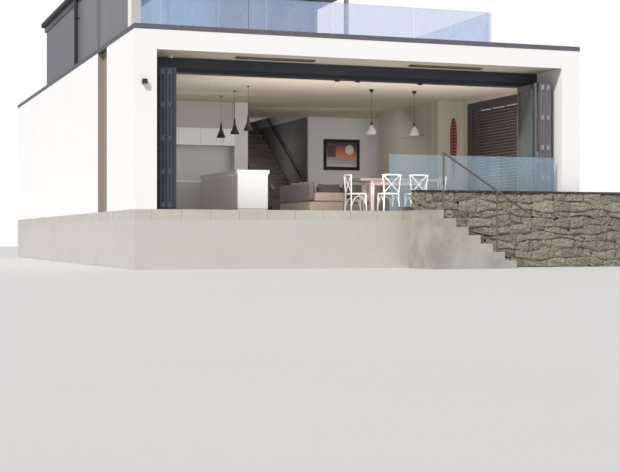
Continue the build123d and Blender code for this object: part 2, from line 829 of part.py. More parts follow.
picture_centre = (picture_wall_left + picture_margin + picture_width / 2,
                  floor + picture_bottom + picture_height / 2)
canvas_size = (picture_width - 2 * picture_frame_width, picture_height - 2 * picture_frame_width)
with BuildPart() as picture_frame:
    with BuildSketch(Plane.XZ.offset(-picture_wall)) as picture_edge:
        with Locations(picture_centre):
            Rectangle(picture_width, picture_height)
            Rectangle(*canvas_size, mode=Mode.SUBTRACT)
    extrude(picture_edge.sketch, amount=picture_depth)
    with BuildSketch(Plane.XZ.offset(-picture_wall)) as canvas:
        with Locations(picture_centre):
            Rectangle(*canvas_size)
    extrude(canvas.sketch, amount=canvas_depth)
pieces["framed_picture"] = picture_frame

# Long carved board on the end of the joinery: pointed below, rounded above
board_x = joinery_left + board_setback
board_z = floor + board_bottom
with BuildPart() as wall_board:
    with BuildSketch(Plane.XZ.offset(-joinery_front)) as blade:
        with BuildLine():
            Spline((board_x + board_width / 2, board_z + board_belly), (board_x, board_z + board_length),
                   (board_x - board_width / 2, board_z + board_belly), tangents=((0, 1), (0, -1)))
            for side in (-1, 1):
                Spline((board_x + side * board_width / 2, board_z + board_belly), (board_x, board_z),
                       tangents=((0, -1), (-side * board_width, -board_belly)))
        make_face()
    extrude(blade.sketch, amount=board_thickness)
pieces["wall_board"] = wall_board


def prism(x, y, diameter, sides, z_from, z_to):
    # Upright bar or disc with a regular outline.
    with BuildSketch(Plane.XY.offset(z_from)) as outline:
        with Locations((x, y)):
            RegularPolygon(diameter / 2, sides)
    extrude(outline.sketch, amount=z_to - z_from)


def cone(x, y, mouth, neck, z_from, z_to, mode):
    # Many-sided cone between two diameters.
    with BuildSketch(Plane(origin=(x, y, z_from))) as wide:
        RegularPolygon(mouth / 2, lamp_sides)
    with BuildSketch(Plane(origin=(x, y, z_to))) as narrow:
        RegularPolygon(neck / 2, lamp_sides)
    loft([wide.sketch.face(), narrow.sketch.face()], ruled=True, mode=mode)


def hanging_lamp(x, y, bottom, height, diameter):
    # Open cone shade under a rod and a ceiling rose.
    shade_bottom = floor + bottom
    shade_top = shade_bottom + height
    cone(x, y, diameter, lamp_neck_diameter, shade_bottom, shade_top, Mode.ADD)
    cone(x, y, diameter - 2 * lamp_wall, lamp_neck_diameter - 2 * lamp_wall,
         shade_bottom, shade_top - lamp_cap_thickness, Mode.SUBTRACT)
    prism(x, y, lamp_rod_diameter, lamp_sides, shade_top, ceiling - lamp_rose_height)
    prism(x, y, lamp_rose_diameter, lamp_sides, ceiling - lamp_rose_height, ceiling)


with BuildPart() as cone_lamps:
    for y in cone_lamp_y:
        hanging_lamp(cone_lamp_x, y, cone_lamp_bottom, cone_lamp_height, cone_lamp_diameter)
pieces["cone_lamps"] = cone_lamps

with BuildPart() as glass_lamps:
    for x in glass_lamp_x:
        hanging_lamp(x, glass_lamp_y, glass_lamp_bottom, glass_lamp_height, glass_lamp_diameter)
pieces["glass_lamps"] = glass_lamps

# Dining table and its four chairs
table_right = table_left + table_length
table_far = table_near + table_width
table_underside = floor + table_height - table_top_thickness
with BuildPart() as dining_table:
    box(table_left, table_right, table_near, table_far, table_underside, floor + table_height)
    for x in (table_left + table_leg_end_inset, table_right - table_leg_end_inset - table_leg_size):
        for y in (table_near + table_leg_side_inset, table_far - table_leg_side_inset - table_leg_size):
            box(x, x + table_leg_size, y, y + table_leg_size, floor, table_underside)
pieces["dining_table"] = dining_table

# One chair at the origin, facing +Y, its back towards -Y
seat_rear = -chair_seat_depth / 2
leg_half = chair_seat_width / 2 - chair_bar
top_half = chair_back_width / 2 - chair_bar
rail_bottom = chair_back_height - chair_rail_height
seat_underside = chair_seat_height - chair_seat_thickness
with BuildPart() as chair:
    with BuildSketch(Plane.XY.offset(seat_underside)):
        RectangleRounded(chair_seat_width, chair_seat_depth, chair_seat_radius)
    extrude(amount=chair_seat_thickness)
    for side in (-1, 1):
        leg_x = side * leg_half
        box(leg_x - chair_bar / 2, leg_x + chair_bar / 2, -seat_rear - 2 * chair_bar, -seat_rear - chair_bar,
            0, seat_underside)
        box(leg_x - chair_stretcher_width / 2, leg_x + chair_stretcher_width / 2,
            seat_rear + chair_bar, -seat_rear - 2 * chair_bar,
            chair_stretcher_height, chair_stretcher_height + chair_bar)
    # Back in one plane: legs up to the seat, spread posts, top rail and cross
    with BuildSketch(Plane(origin=(0, seat_rear + chair_bar, 0), x_dir=(1, 0, 0), z_dir=(0, -1, 0))):
        with Locations((0, rail_bottom + chair_rail_height / 2)):
            Rectangle(chair_back_width, chair_rail_height)
        for side in (-1, 1):
            with Locations((side * leg_half, chair_seat_height / 2)):
                Rectangle(chair_bar, chair_seat_height)
            for foot in (side * leg_half, -side * leg_half):
                with BuildLine() as strut:
                    Line((foot, seat_underside), (side * top_half, rail_bottom + chair_bar))
                trace(strut.line, line_width=chair_bar)
    extrude(amount=chair_bar)

table_middle = (table_near + table_far) / 2
end_chair_distance = chair_seat_depth / 2 - end_chair_tuck
side_chair_y = table_near - chair_seat_depth / 2 + side_chair_tuck
chair_places = [((table_left - end_chair_distance, table_middle - left_chair_shift), -90),
                ((table_right + end_chair_distance, table_middle), 90)]
chair_places += [((table_left + offset_x, side_chair_y), 0) for offset_x in side_chair_offsets]
with BuildPart() as dining_chairs:
    for (x, y), turn in chair_places:
        with Locations(Location((x, y, floor), (0, 0, turn))):
            add(chair.part)
pieces["dining_chairs"] = dining_chairs

# Corner sofa: one side backs on to the kitchen, the other runs across the room
sofa_right = sofa_left + sofa_depth
sofa_return_right = sofa_right + sofa_return_length
sofa_far = sofa_near + sofa_length
sofa_return_near = sofa_far - sofa_depth
seat_inner = sofa_left + sofa_back_thickness
seat_far = sofa_far - sofa_back_thickness
seat_near = sofa_near + sofa_arm_width
seat_base = floor + sofa_base_height
with BuildPart() as sofa:
    box(sofa_left, sofa_right, sofa_near, sofa_far, floor, seat_base)
    box(sofa_right, sofa_return_right, sofa_return_near, sofa_far, floor, seat_base)
    box(sofa_left, seat_inner, sofa_near, sofa_far, seat_base, floor + sofa_back_height)
    box(seat_inner, sofa_return_right, seat_far, sofa_far, seat_base, floor + sofa_back_height)
    box(seat_inner, sofa_right, sofa_near, seat_near, seat_base, floor + sofa_arm_height)
pieces["sofa"] = sofa

seat_top = seat_base + cushion_height
side_starts, side_bay = evenly(seat_near, seat_far, side_seats)
return_starts, return_bay = evenly(sofa_right, sofa_return_right, return_seats)
with BuildPart() as sofa_cushions:
    for start in side_starts:
        box(seat_inner + cushion_clearance, sofa_right - cushion_clearance,
            start + cushion_clearance, start + side_bay - cushion_clearance, seat_base, seat_top)
        box(seat_inner + cushion_clearance, seat_inner + back_cushion_thickness,
            start + cushion_clearance, start + side_bay - back_cushion_thickness,
            seat_top, seat_top + back_cushion_height)
    for start in return_starts:
        box(start + cushion_clearance, start + return_bay - cushion_clearance,
            sofa_return_near, seat_far - cushion_clearance, seat_base, seat_top)
        box(start + cushion_clearance, start + return_bay - cushion_clearance,
            seat_far - back_cushion_thickness, seat_far - cushion_clearance,
            seat_top, seat_top + back_cushion_height)
pieces["sofa_cushions"] = sofa_cushions

# Fittings under the porch soffit and on the left pier
with BuildPart() as porch_fittings:
    for left in heater_left:
        box(left, left + heater_length, heater_setback, heater_setback + heater_width,
            soffit - heater_depth, soffit)
    box(pier_lamp_offset - pier_lamp_size / 2, pier_lamp_offset + pier_lamp_size / 2, -pier_lamp_depth, 0,
        floor + pier_lamp_height, floor + pier_lamp_height + pier_lamp_size)
    with BuildSketch(Plane.XY.offset(soffit)) as dome:
        with Locations((pier_width + camera_offset, camera_setback)):
            Circle(camera_diameter / 2)
    extrude(dome.sketch, amount=-camera_drop)
pieces["porch_fittings"] = porch_fittings

# Move everything so that the origin is the middle of the footprint, and write the files
middle_x = (stone_wall_end - capping_overhang) / 2
middle_y = (house_depth + roof_rear_overhang + steps_outer) / 2
centring = Location((-middle_x, -middle_y, 0))

os.makedirs("parts", exist_ok=True)
for name, piece in pieces.items():
    placed = piece.part.moved(centring)
    placed.label = name
    export_step(placed, f"parts/{name}.step")
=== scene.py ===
import math

import bpy
import numpy as np
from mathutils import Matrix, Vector


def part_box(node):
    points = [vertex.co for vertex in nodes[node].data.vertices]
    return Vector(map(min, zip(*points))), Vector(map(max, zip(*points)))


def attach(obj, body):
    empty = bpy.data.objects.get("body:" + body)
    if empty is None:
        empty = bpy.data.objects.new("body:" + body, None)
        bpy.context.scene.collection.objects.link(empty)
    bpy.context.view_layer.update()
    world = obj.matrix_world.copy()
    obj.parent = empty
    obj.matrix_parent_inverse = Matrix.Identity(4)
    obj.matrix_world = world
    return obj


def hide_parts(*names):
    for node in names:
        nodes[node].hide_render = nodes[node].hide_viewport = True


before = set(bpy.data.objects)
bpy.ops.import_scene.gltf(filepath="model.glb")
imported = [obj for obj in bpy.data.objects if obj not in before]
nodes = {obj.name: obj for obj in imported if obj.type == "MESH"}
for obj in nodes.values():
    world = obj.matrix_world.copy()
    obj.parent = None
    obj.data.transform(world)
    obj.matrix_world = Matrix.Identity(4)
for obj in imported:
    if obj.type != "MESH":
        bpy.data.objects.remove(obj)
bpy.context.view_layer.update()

# Beach house: finishes, lamps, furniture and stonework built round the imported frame.
# Metres; x along the garden front, y towards the rear, z up.


def box(node):
    low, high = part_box(node)
    return np.array(low), np.array(high)


headerLow, headerHigh = box("front_header")
floorZ = box("floor_slab")[1][2]
deckZ = box("deck_paving")[1][2]
houseLeft, houseFront = headerLow[0], headerLow[1]


def spot(x, y, z):
    # house place: from the left outer face, from the front face, above the ground floor
    return np.array([houseLeft + x, houseFront + y, floorZ + z])


def stand(name, data):
    made = bpy.data.objects.new(name, data)
    bpy.context.scene.collection.objects.link(made)
    return made


# Camera: level, low on the garden side, standing left of the house and turned to the right
cameraSet = {
    "leftOfHouse": 5.598,      # metres, camera to the left outer corner
    "fromFront": 26.0,
    "belowFloor": 0.55,
    "turn": 19.6,              # degrees to the right
    "focalPixels": 1342.0,
    "pictureWidth": 620.0,     # pixels
    "horizonDrop": 1.5,        # pixels, horizon below the picture's middle
    "sensor": 36.0,            # millimetres
}


def makeCamera(s):
    data = bpy.data.cameras.new("gardenView")
    data.sensor_width = s["sensor"]
    data.lens = data.sensor_width * s["focalPixels"] / s["pictureWidth"]
    data.shift_y = s["horizonDrop"] / s["pictureWidth"]
    data.clip_end = 200.0
    camera = stand("gardenView", data)
    camera.location = spot(-s["leftOfHouse"], -s["fromFront"], -s["belowFloor"])
    camera.rotation_euler = (math.radians(90), 0, -math.radians(s["turn"]))
    bpy.context.scene.camera = camera


makeCamera(cameraSet)
print("camera placed")


# Shader maths: a socket whose sums and products add Math nodes
class Wire:
    def __init__(self, paint, socket):
        self.paint, self.socket = paint, socket

    def math(self, operation, first, second=0.0):
        return self.paint.node("ShaderNodeMath", {"operation": operation}, {0: first, 1: second})

    def __add__(self, other):
        return self.math("ADD", self, other)

    def __sub__(self, other):
        return self.math("SUBTRACT", self, other)

    def __rsub__(self, other):
        return self.math("SUBTRACT", other, self)

    def __mul__(self, other):
        return self.math("MULTIPLY", self, other)

    def __truediv__(self, other):
        return self.math("DIVIDE", self, other)

    def __pow__(self, other):
        return self.math("POWER", self, other)

    def __mod__(self, other):
        return self.math("FLOORED_MODULO", self, other)

    def largest(self, other):
        return self.math("MAXIMUM", self, other)

    def size(self):
        return self.math("ABSOLUTE", self)

    def sine(self):
        return self.math("SINE", self)

    __radd__ = __add__
    __rmul__ = __mul__


# One material, or the sky; every node goes in through node()
class Paint:
    def __init__(self, name, store=bpy.data.materials):
        self.material = store.new(name)
        self.material.use_nodes = True
        self.tree = self.material.node_tree
        self.tree.nodes.clear()
        self.spot = self.node("ShaderNodeTexCoord", out="Object")
        self.x, self.y, self.z = self.parts(self.spot)

    def node(self, kind, settings=None, values=None, out=0):
        made = self.tree.nodes.new(kind)
        for key, value in (settings or {}).items():
            if key == "stops":
                stops = made.color_ramp.elements
                while len(stops) < len(value):
                    stops.new(0.5)
                for stop, (position, colour) in zip(stops, value):
                    stop.position = position
                    stop.color = colour
            else:
                setattr(made, key, value)
        for key, value in (values or {}).items():
            if isinstance(value, Wire):
                self.tree.links.new(value.socket, made.inputs[key])
            else:
                made.inputs[key].default_value = value
        return Wire(self, made.outputs[out]) if made.outputs else made

    def stretched(self, *scale):
        return self.node("ShaderNodeMapping", {}, {0: self.spot, "Scale": scale})

    def parts(self, vector):
        split = self.node("ShaderNodeSeparateXYZ", {}, {0: vector}).socket.node
        return [Wire(self, split.outputs[index]) for index in range(3)]

    def facing(self, axis):
        # the face normal's part along x, y or z, numbered 0 to 2
        return self.parts(self.node("ShaderNodeNewGeometry", out="True Normal"))[axis]

    def tint(self):
        # value between 0 and 1 that the mesh carries, one for each block or cushion
        return self.node("ShaderNodeAttribute", {"attribute_name": "tint"}, out="Fac")

    def noise(self, size, detail=3.0, rough=0.55, vector=None):
        return self.node("ShaderNodeTexNoise", {"noise_dimensions": "3D"},
                         {"Vector": vector or self.spot, "Scale": 1 / size, "Detail": detail, "Roughness": rough})

    def cells(self, size):
        return self.node("ShaderNodeTexVoronoi", {"feature": "F1"}, {"Vector": self.spot, "Scale": 1 / size},
                         "Distance")

    def band(self, value, low, high):
        # rises smoothly from 0 to 1 between low and high
        return self.node("ShaderNodeMapRange", {"interpolation_type": "SMOOTHSTEP"},
                         {"Value": value, "From Min": low, "From Max": high})

    def window(self, value, low, high, soft):
        # 1 between low and high, 0 outside
        return self.band(value, low - soft, low + soft) * (1.0 - self.band(value, high - soft, high + soft))

    def marks(self, value, places, half, soft):
        # 1 no further than half from one of the places
        found = 0.0
        for place in places:
            found = self.window(value, place - half, place + half, soft).largest(found)
        return found

    def line(self, position, pitch, width):
        # 1 on a thin line at every multiple of the pitch
        near = ((position / pitch + 0.5) % 1.0 - 0.5).size() * pitch
        return 1.0 - self.band(near, width * 0.35, width * 0.65)

    def blend(self, share, first, second):
        return self.node("ShaderNodeMix", {"data_type": "RGBA"}, {0: share, 6: first, 7: second}, 2)

    def layers(self, hue, *coats):
        # each coat is a share and the colour that it mixes in
        for share, colour in coats:
            hue = self.blend(share, hue, colour)
        return hue

    def bump(self, height, distance, strength=1.0):
        return self.node("ShaderNodeBump", {}, {"Height": height, "Distance": distance, "Strength": strength})

    def surface(self, colour, roughness, normal=None, **more):
        values = {"Base Color": colour, "Roughness": roughness}
        if normal:
            values["Normal"] = normal
        values.update({key.replace("_", " "): value for key, value in more.items()})
        self.node("ShaderNodeOutputMaterial", {}, {0: self.node("ShaderNodeBsdfPrincipled", {}, values)})
        return self.material


def tone(red, green, blue):
    # screen colour, 0 to 255, to the linear colour that shaders take
    part = np.array([red, green, blue]) / 255.0
    linear = np.where(part <= 0.04045, part / 12.92, ((part + 0.055) / 1.055) ** 2.4)
    return (*linear.tolist(), 1.0)


# Masonry and painted walls
def renderedWall(name, colour, stain, relief=0.0035, recess=None, gardenFace=None, under=None, roomSide=None):
    # recess: from and to along y, painted taupe; gardenFace: another colour on the faces that look to the garden;
    # under and the room-side colour: painted shade on the faces that look down and left into the rooms
    p = Paint(name)
    drift = p.noise(1.7, 4, 0.6)
    streaks = p.noise(0.16, 3, 0.6, p.stretched(1, 1, 0.06))
    hue = p.blend(p.band(streaks, 0.6, 0.85) * 0.12 + p.band(drift, 0.45, 0.8) * 0.3, colour, stain)
    if recess:
        hue = p.blend(p.window(p.y, *recess, 0.0015), hue, tone(150, 138, 127))
    # the faces that look down and left into the rooms take painted shade; the faces to the garden take another colour
    for axis, side in enumerate((roomSide, gardenFace, under)):
        if side:
            hue = p.blend(p.band(0.0 - p.facing(axis), 0.5, 0.8), hue, side)
    height = p.noise(0.006, 2, 0.6) + p.noise(0.05, 2, 0.5) * 0.8
    return p.surface(hue, p.band(p.noise(0.012, 3, 0.7), 0.2, 0.9) * 0.16 + 0.72, p.bump(height, relief, 0.5))


def flatPaint(name, colour, second, roughness):
    p = Paint(name)
    hue = p.blend(p.band(p.noise(0.9, 3, 0.5), 0.3, 0.75) * 0.5, colour, second)
    return p.surface(hue, roughness + p.noise(0.3) * 0.08, p.bump(p.noise(0.004, 2, 0.5), 0.0012, 0.35))


def tiledFloor(name, colour, second, joint, tile=0.6):
    p = Paint(name)
    lines = p.line(p.x, tile, joint).largest(p.line(p.y, tile, joint))
    speck = p.noise(0.02, 4, 0.7)
    cloud = p.noise(0.6, 3, 0.6)
    hue = p.layers(colour, (p.band(cloud, 0.3, 0.7) * 0.6, second),
                   (p.band(speck, 0.55, 0.75) * 0.35, tone(120, 115, 108)), (lines * 0.8, tone(95, 92, 88)))
    return p.surface(hue, 0.42 + lines * 0.4 + cloud * 0.12, p.bump(speck * 0.15 - lines, 0.002, 0.6))


def castConcrete(name, colour, second):
    p = Paint(name)
    cloud = p.noise(0.5, 5, 0.6)
    pores = 1.0 - p.band(p.cells(0.03), 0.08, 0.2)
    hue = p.layers(colour, (p.band(cloud, 0.3, 0.7), second), (pores * 0.35, tone(70, 66, 62)))
    return p.surface(hue, 0.7 + cloud * 0.15, p.bump(p.noise(0.01) * 0.4 - pores, 0.003, 0.6))


def rubble(name, pale, dark):
    # each block has its own share of dark; grit and chipped faces lie over it
    p = Paint(name)
    grit = p.noise(0.016, 5, 0.7)
    hue = p.layers(pale, (p.tint() * 0.55 + p.band(p.noise(0.16, 4, 0.65), 0.25, 0.8) * 0.45, dark),
                   (p.band(grit, 0.5, 0.72) * 0.5, tone(70, 64, 58)),
                   (p.band(p.noise(0.07, 4, 0.7), 0.6, 0.7) * 0.55, tone(186, 174, 158)))
    height = grit + p.noise(0.07, 5, 0.65) * 2.6 + p.cells(0.05) * 1.6
    return p.surface(hue, 0.86 + grit * 0.08, p.bump(height, 0.04))


# Metals
def coated(p, roughness, colour, dustShare, dusty, *coats):
    # fine grained coat, mixed with the dusty colour and duller where dust lies
    dust = p.noise(0.35, 4, 0.6)
    hue = p.layers(colour, (p.band(dust, 0.35, 0.75) * dustShare, dusty), *coats)
    return p.surface(hue, roughness + p.band(dust, 0.3, 0.8) * 0.12, p.bump(p.noise(0.0025, 2), 0.0006, 0.4))


def powderCoat(name, colour, second, roughness):
    p = Paint(name)
    salt = p.band(p.noise(0.02, 3, 0.6), 0.6, 0.8) * 0.12
    return coated(p, roughness, colour, 0.55, second, (salt, tone(150, 148, 145)))


def doorMetal(name, beamTop, joints, rightEnd, beamHeight=0.31, shadedHeight=0.095):
    # charcoal coat; near-black painted shade lies over the head beam's lower third and its track, and its sheets meet
    # at joints
    p = Paint(name)
    foot = beamTop - beamHeight
    head = p.band(p.z, foot - 0.002, foot + 0.002)
    return coated(p, 0.36, tone(54, 56, 66), 0.5, tone(66, 68, 77),
                  (p.band(p.x, rightEnd - 0.01, rightEnd + 0.01) * (1.0 - head), tone(104, 100, 102)),
                  # near-black painted shade along the beam's foot
                  (p.window(p.z, foot, foot + shadedHeight, 0.004) * 0.85, tone(20, 18, 23)),
                  (p.marks(p.x, joints, 0.004, 0.002) * head * 0.8, tone(24, 24, 28)))


def glazingFrames(name, darkFrom, darkTo, whiteFrom):
    # pale grey coat; the sliding leaves' stiles are blue-grey and the free roof post is white
    p = Paint(name)
    return coated(p, 0.36, tone(222, 218, 212), 0.5, tone(208, 205, 200),
                  (p.window(p.x, darkFrom, darkTo, 0.01), tone(84, 104, 130)),
                  (p.band(p.x, whiteFrom - 0.01, whiteFrom + 0.01), tone(236, 237, 238)))


def brushedMetal(name, colour, along, darkBefore=None):
    # darkBefore: left of this x the metal has a dark finish
    p = Paint(name)
    hairs = p.noise(0.002, 2, 0.5, p.stretched(*along))
    hue = p.blend(p.band(p.noise(0.12), 0.3, 0.8) * 0.4, colour, tone(150, 150, 152))
    if darkBefore is not None:
        hue = p.blend(1.0 - p.band(p.x, darkBefore - 0.1, darkBefore + 0.1), hue, tone(112, 112, 122))
    return p.surface(hue, 0.34 + hairs * 0.12, p.bump(hairs, 0.0004, 0.3), Metallic=1.0)


def cladSheet(name, joint):
    # dark sheets with open vertical joints along the wall and faint waves in each sheet, darker to the rear
    p = Paint(name)
    joints = p.line(p.y - joint, 3.0, 0.012)
    wave = p.noise(0.9, 2, 0.5, p.stretched(1, 1, 0.4))
    salt = p.noise(0.05, 4, 0.7, p.stretched(1, 1, 0.25))
    hue = p.layers(tone(120, 116, 116), (p.band(wave, 0.3, 0.7) * 0.5, tone(128, 124, 124)),
                   (p.band(salt, 0.55, 0.8) * 0.15, tone(136, 133, 136)),
                   (p.band(p.y, joint + 0.5, joint + 5.0) * 0.6, tone(96, 94, 94)),
                   (joints * 0.85, tone(46, 44, 46)))
    return p.surface(hue, 0.5 + salt * 0.15, p.bump(wave * 0.5 + salt * 0.04 - joints, 0.003, 0.4))


def cappingSheet(name, sheet=2.4):
    # greyer on the garden side, browner along the house's sides
    p = Paint(name)
    joints = p.line(p.x, sheet, 0.01).largest(p.line(p.y, sheet, 0.01))
    streak = p.noise(0.07, 3, 0.6, p.stretched(1, 1, 0.15))
    hue = p.layers(tone(80, 71, 65), (p.band(p.facing(1).size(), 0.4, 0.8), tone(97, 92, 100)),
                   (p.band(streak, 0.4, 0.75) * 0.35, tone(118, 112, 114)), (joints * 0.6, tone(60, 55, 58)))
    return p.surface(hue, 0.45 + streak * 0.15, p.bump(p.noise(0.4, 2) * 0.5 - joints, 0.002, 0.5))


def roofSheet(name):
    p = Paint(name)
    cloud = p.noise(1.4, 4, 0.6)
    hue = p.layers(tone(112, 114, 118), (p.band(cloud, 0.3, 0.75), tone(98, 101, 106)),
                   (p.band(p.noise(0.03, 3, 0.6), 0.62, 0.75) * 0.3, tone(132, 134, 136)))
    return p.surface(hue, 0.42 + cloud * 0.15, p.bump(p.noise(0.5, 2), 0.004, 0.3), Metallic=0.2)


# Glass sheets: clear through the face, greener and more solid along the edges; the body colours are painted sky
# reflection
def sheetGlass(name, low, high, edge, clarity, shaded=None, mirror=0.0):
    # low and high are the painted reflection colours below and above the deck
    p = Paint(name)
    rim = p.band(p.facing(2).size(), 0.4, 0.8)
    haze = p.noise(0.7, 4, 0.6, p.stretched(1, 1, 0.5))
    above = p.band(p.z, deckZ - 0.05, deckZ + 0.05)
    alpha = clarity[0] + above * (clarity[1] - clarity[0]) + p.band(haze, 0.4, 0.8) * 0.05
    if shaded:
        # the panes right of this x and behind this y take the darker tone, painted shade in place of the bright
        # painted reflection
        across, behind, shade = shaded
        dim = p.band(p.x, across - 0.3, across + 0.3).largest(p.band(p.y, behind - 0.3, behind + 0.3))
        high = p.blend(dim, high, shade)
        alpha = alpha + (1.0 - dim) * above * 0.14
    body = p.blend(above, low, high)
    hue = p.blend(rim, p.blend(p.band(haze, 0.35, 0.75) * 0.3, body, tone(222, 230, 238)), edge)
    return p.surface(hue, 0.06 + p.band(p.noise(0.012, 3, 0.6), 0.5, 0.8) * 0.1, Metallic=mirror,
                     Alpha=alpha.largest(rim * 0.8), IOR=1.5)


# Timber
def timber(name, dark, pale, roughness, along=(0.06, 1, 1)):
    p = Paint(name)
    warp, rings, fibre = (p.noise(*grain, p.stretched(*along))
                          for grain in ((0.5, 3, 0.6), (0.035, 5, 0.65), (0.004, 2, 0.6)))
    hue = p.layers(dark, (p.band(rings, 0.3, 0.7), pale), (p.band(fibre, 0.5, 0.8) * 0.3, dark),
                   (p.band(warp, 0.5, 0.8) * 0.25, pale))
    return p.surface(hue, roughness + fibre * 0.18, p.bump(fibre + rings * 0.4, 0.0009, 0.5))


def paintedTimber(name):
    p = Paint(name)
    brush = p.noise(0.006, 2, 0.6, p.stretched(1, 1, 0.15))
    worn = p.band(p.noise(0.05, 4, 0.7), 0.68, 0.76)
    hue = p.layers(tone(222, 220, 216), (p.noise(0.2) * 0.5, tone(208, 205, 200)), (worn * 0.4, tone(176, 166, 152)))
    return p.surface(hue, 0.42 + brush * 0.15, p.bump(brush - worn * 0.5, 0.0006, 0.5))


def louvreStain(name, low, high):
    # brown blades whose thin edges catch the light, in a charcoal frame
    p = Paint(name)
    fibre = p.noise(0.004, 2, 0.6, p.stretched(1, 0.05, 1))
    rings = p.band(p.noise(0.03, 4, 0.6, p.stretched(1, 0.06, 1)), 0.3, 0.7)
    inside = p.window(p.y, low[0], high[0], 0.004) * p.window(p.z, low[1], high[1], 0.004)
    tilt = p.facing(2).size()
    edge = p.band(tilt, 0.68, 0.74) * (1.0 - p.band(tilt, 0.85, 0.95))
    blade = p.layers(tone(64, 56, 57), (rings, tone(84, 73, 73)), (edge, tone(214, 200, 186)))
    surround = p.blend(rings, tone(60, 56, 58), tone(70, 66, 67))
    hue = p.blend(fibre * 0.25, p.blend(inside, surround, blade), tone(48, 42, 42))
    return p.surface(hue, 0.42 + fibre * 0.15, p.bump(fibre, 0.0006, 0.5))


def kitchenFronts(name, columnLeft, wallTone, doorWidth=0.6):
    # lacquered fronts with fine gaps; bright overhead doors and column, painted bulkhead above, splashback between
    p = Paint(name)
    height = p.z - floorZ
    gaps = p.line(p.x, doorWidth, 0.006) * (1.0 - p.band(height, 2.25, 2.26))
    gaps = (gaps * (1.0 - p.window(height, 0.98, 1.81, 0.004))).largest(p.window(height, 0.085, 0.1, 0.002))
    overhead = p.window(height, 1.82, 2.262, 0.003)
    bench = p.window(height, 0.86, 0.905, 0.002)
    column = p.band(p.x, columnLeft - 0.003, columnLeft + 0.003)
    cloud = p.noise(0.7, 3, 0.5)
    hue = p.layers(tone(196, 194, 192), (p.band(height, 2.26, 2.266), wallTone),
                   (overhead.largest(bench), tone(230, 231, 234)), (column, tone(208, 205, 204)),
                   (cloud * 0.12, tone(150, 148, 146)), (gaps * (1.0 - column) * 0.8, tone(80, 78, 78)))
    return p.surface(hue, 0.3 + cloud * 0.1, p.bump(0.0 - gaps, 0.002, 0.6))


def joineryFronts(name, strips, headLine):
    # flat taupe panels with pale upright strips and one level line over the doors
    p = Paint(name)
    cloud = p.noise(0.8, 3, 0.5)
    pale = p.marks(p.y, strips, 0.012, 0.003)
    level = p.marks(p.z, [headLine], 0.006, 0.002) * p.window(p.y, strips[1], strips[2], 0.003)
    hue = p.layers(tone(182, 173, 162), (cloud * 0.5, tone(172, 163, 152)), (pale * 0.8, tone(228, 222, 213)),
                   (level * 0.8, tone(96, 88, 80)))
    return p.surface(hue, 0.42 + cloud * 0.1, p.bump(pale - level, 0.002, 0.5))


def carvedWood(name, low, high):
    # reddish wood, dark in the carved grooves, which slope down from the spine, and paler at the tip
    p = Paint(name)
    aside = (p.x - (low[0] + high[0]) / 2).size()
    grooves = p.line(p.z + aside * 0.35, 0.084, 0.046)
    spine = 1.0 - p.band(aside, 0.006, 0.014)
    share = (p.z - low[2]) / (high[2] - low[2])
    hue = p.layers(tone(172, 98, 80), (p.band(p.noise(0.04, 4), 0.35, 0.7) * 0.6, tone(138, 74, 62)),
                   (grooves.largest(spine) * 0.92, tone(52, 36, 36)),
                   ((1.0 - p.band(share, 0.0, 0.3)) * 0.75, tone(158, 140, 128)))
    return p.surface(hue, 0.5 + p.noise(0.02) * 0.2, p.bump(0.0 - grooves, 0.003, 0.7))


# Cloth: crossed sine waves of the thread's width
def wovenCloth(name, colour, second, thread=0.0035):
    p = Paint(name)
    turns = 6.2832
    weave = (p.x / thread * turns).sine() * ((p.y + p.z) / thread * turns).sine() * 0.5 + 0.5
    hue = p.blend(p.band(p.noise(0.14, 4, 0.6), 0.3, 0.7) * 0.5 + weave * 0.2, colour, second)
    return p.surface(hue, 0.85 + weave * 0.08, p.bump(weave + p.noise(0.01) * 0.6, 0.0012, 0.5), Sheen_Weight=0.25)


# Print: soft horizontal bands, a disc and an upright field, in warm browns and pale greys
def abstractPrint(name, low, high):
    p = Paint(name)
    across, up = (p.x - low[0]) / (high[0] - low[0]), (p.z - low[2]) / (high[2] - low[2])
    drift = p.noise(0.22, 5, 0.65, p.stretched(0.5, 1, 1.6))
    stops = [(0.0, tone(60, 56, 58)), (0.22, tone(190, 186, 182)), (0.4, tone(150, 146, 146)),
             (0.52, tone(196, 132, 96)), (0.7, tone(168, 104, 74)), (0.9, tone(70, 66, 70))]
    bands = p.node("ShaderNodeValToRGB", {"stops": stops}, {0: up + drift * 0.22 + across * 0.14 - 0.1})
    dx, dz = (across - 0.72) * 1.35, up - 0.66
    disc = 1.0 - p.band((dx * dx + dz * dz) ** 0.5, 0.14, 0.17)
    field = p.window(across, 0.1, 0.34, 0.02) * p.window(up, 0.42, 0.8, 0.02)
    hue = p.layers(bands, (disc * 0.9, tone(206, 196, 184)), (field * 0.85, tone(54, 50, 54)))
    return p.surface(hue, 0.35 + drift * 0.2, p.bump(p.noise(0.003), 0.0004, 0.4), Coat_Weight=0.3)


def ribbedGlass(name):
    p = Paint(name)
    haze = p.noise(0.05, 3, 0.6)
    hue = p.blend(haze, tone(190, 190, 184), tone(160, 162, 158))
    return p.surface(hue, 0.12 + haze * 0.1, Alpha=0.34 + haze * 0.2, IOR=1.5)


def frostedGlow(name, colour, level):
    # lamp covers and bulbs
    p = Paint(name)
    milk = p.noise(0.02, 3, 0.5)
    hue = p.blend(milk * 0.3, colour, tone(210, 206, 198))
    return p.surface(hue, 0.35 + milk * 0.2, Emission_Color=hue, Emission_Strength=level)


finishes = {}


def finish(material, *names):
    # keeps the material under its name and lays it on CAD nodes
    finishes[material.name] = material
    for name in names:
        nodes[name].data.materials.clear()
        nodes[name].data.materials.append(material)


def placesAlong(axis, *places):
    return [spot(place, place, place)[axis] for place in places]


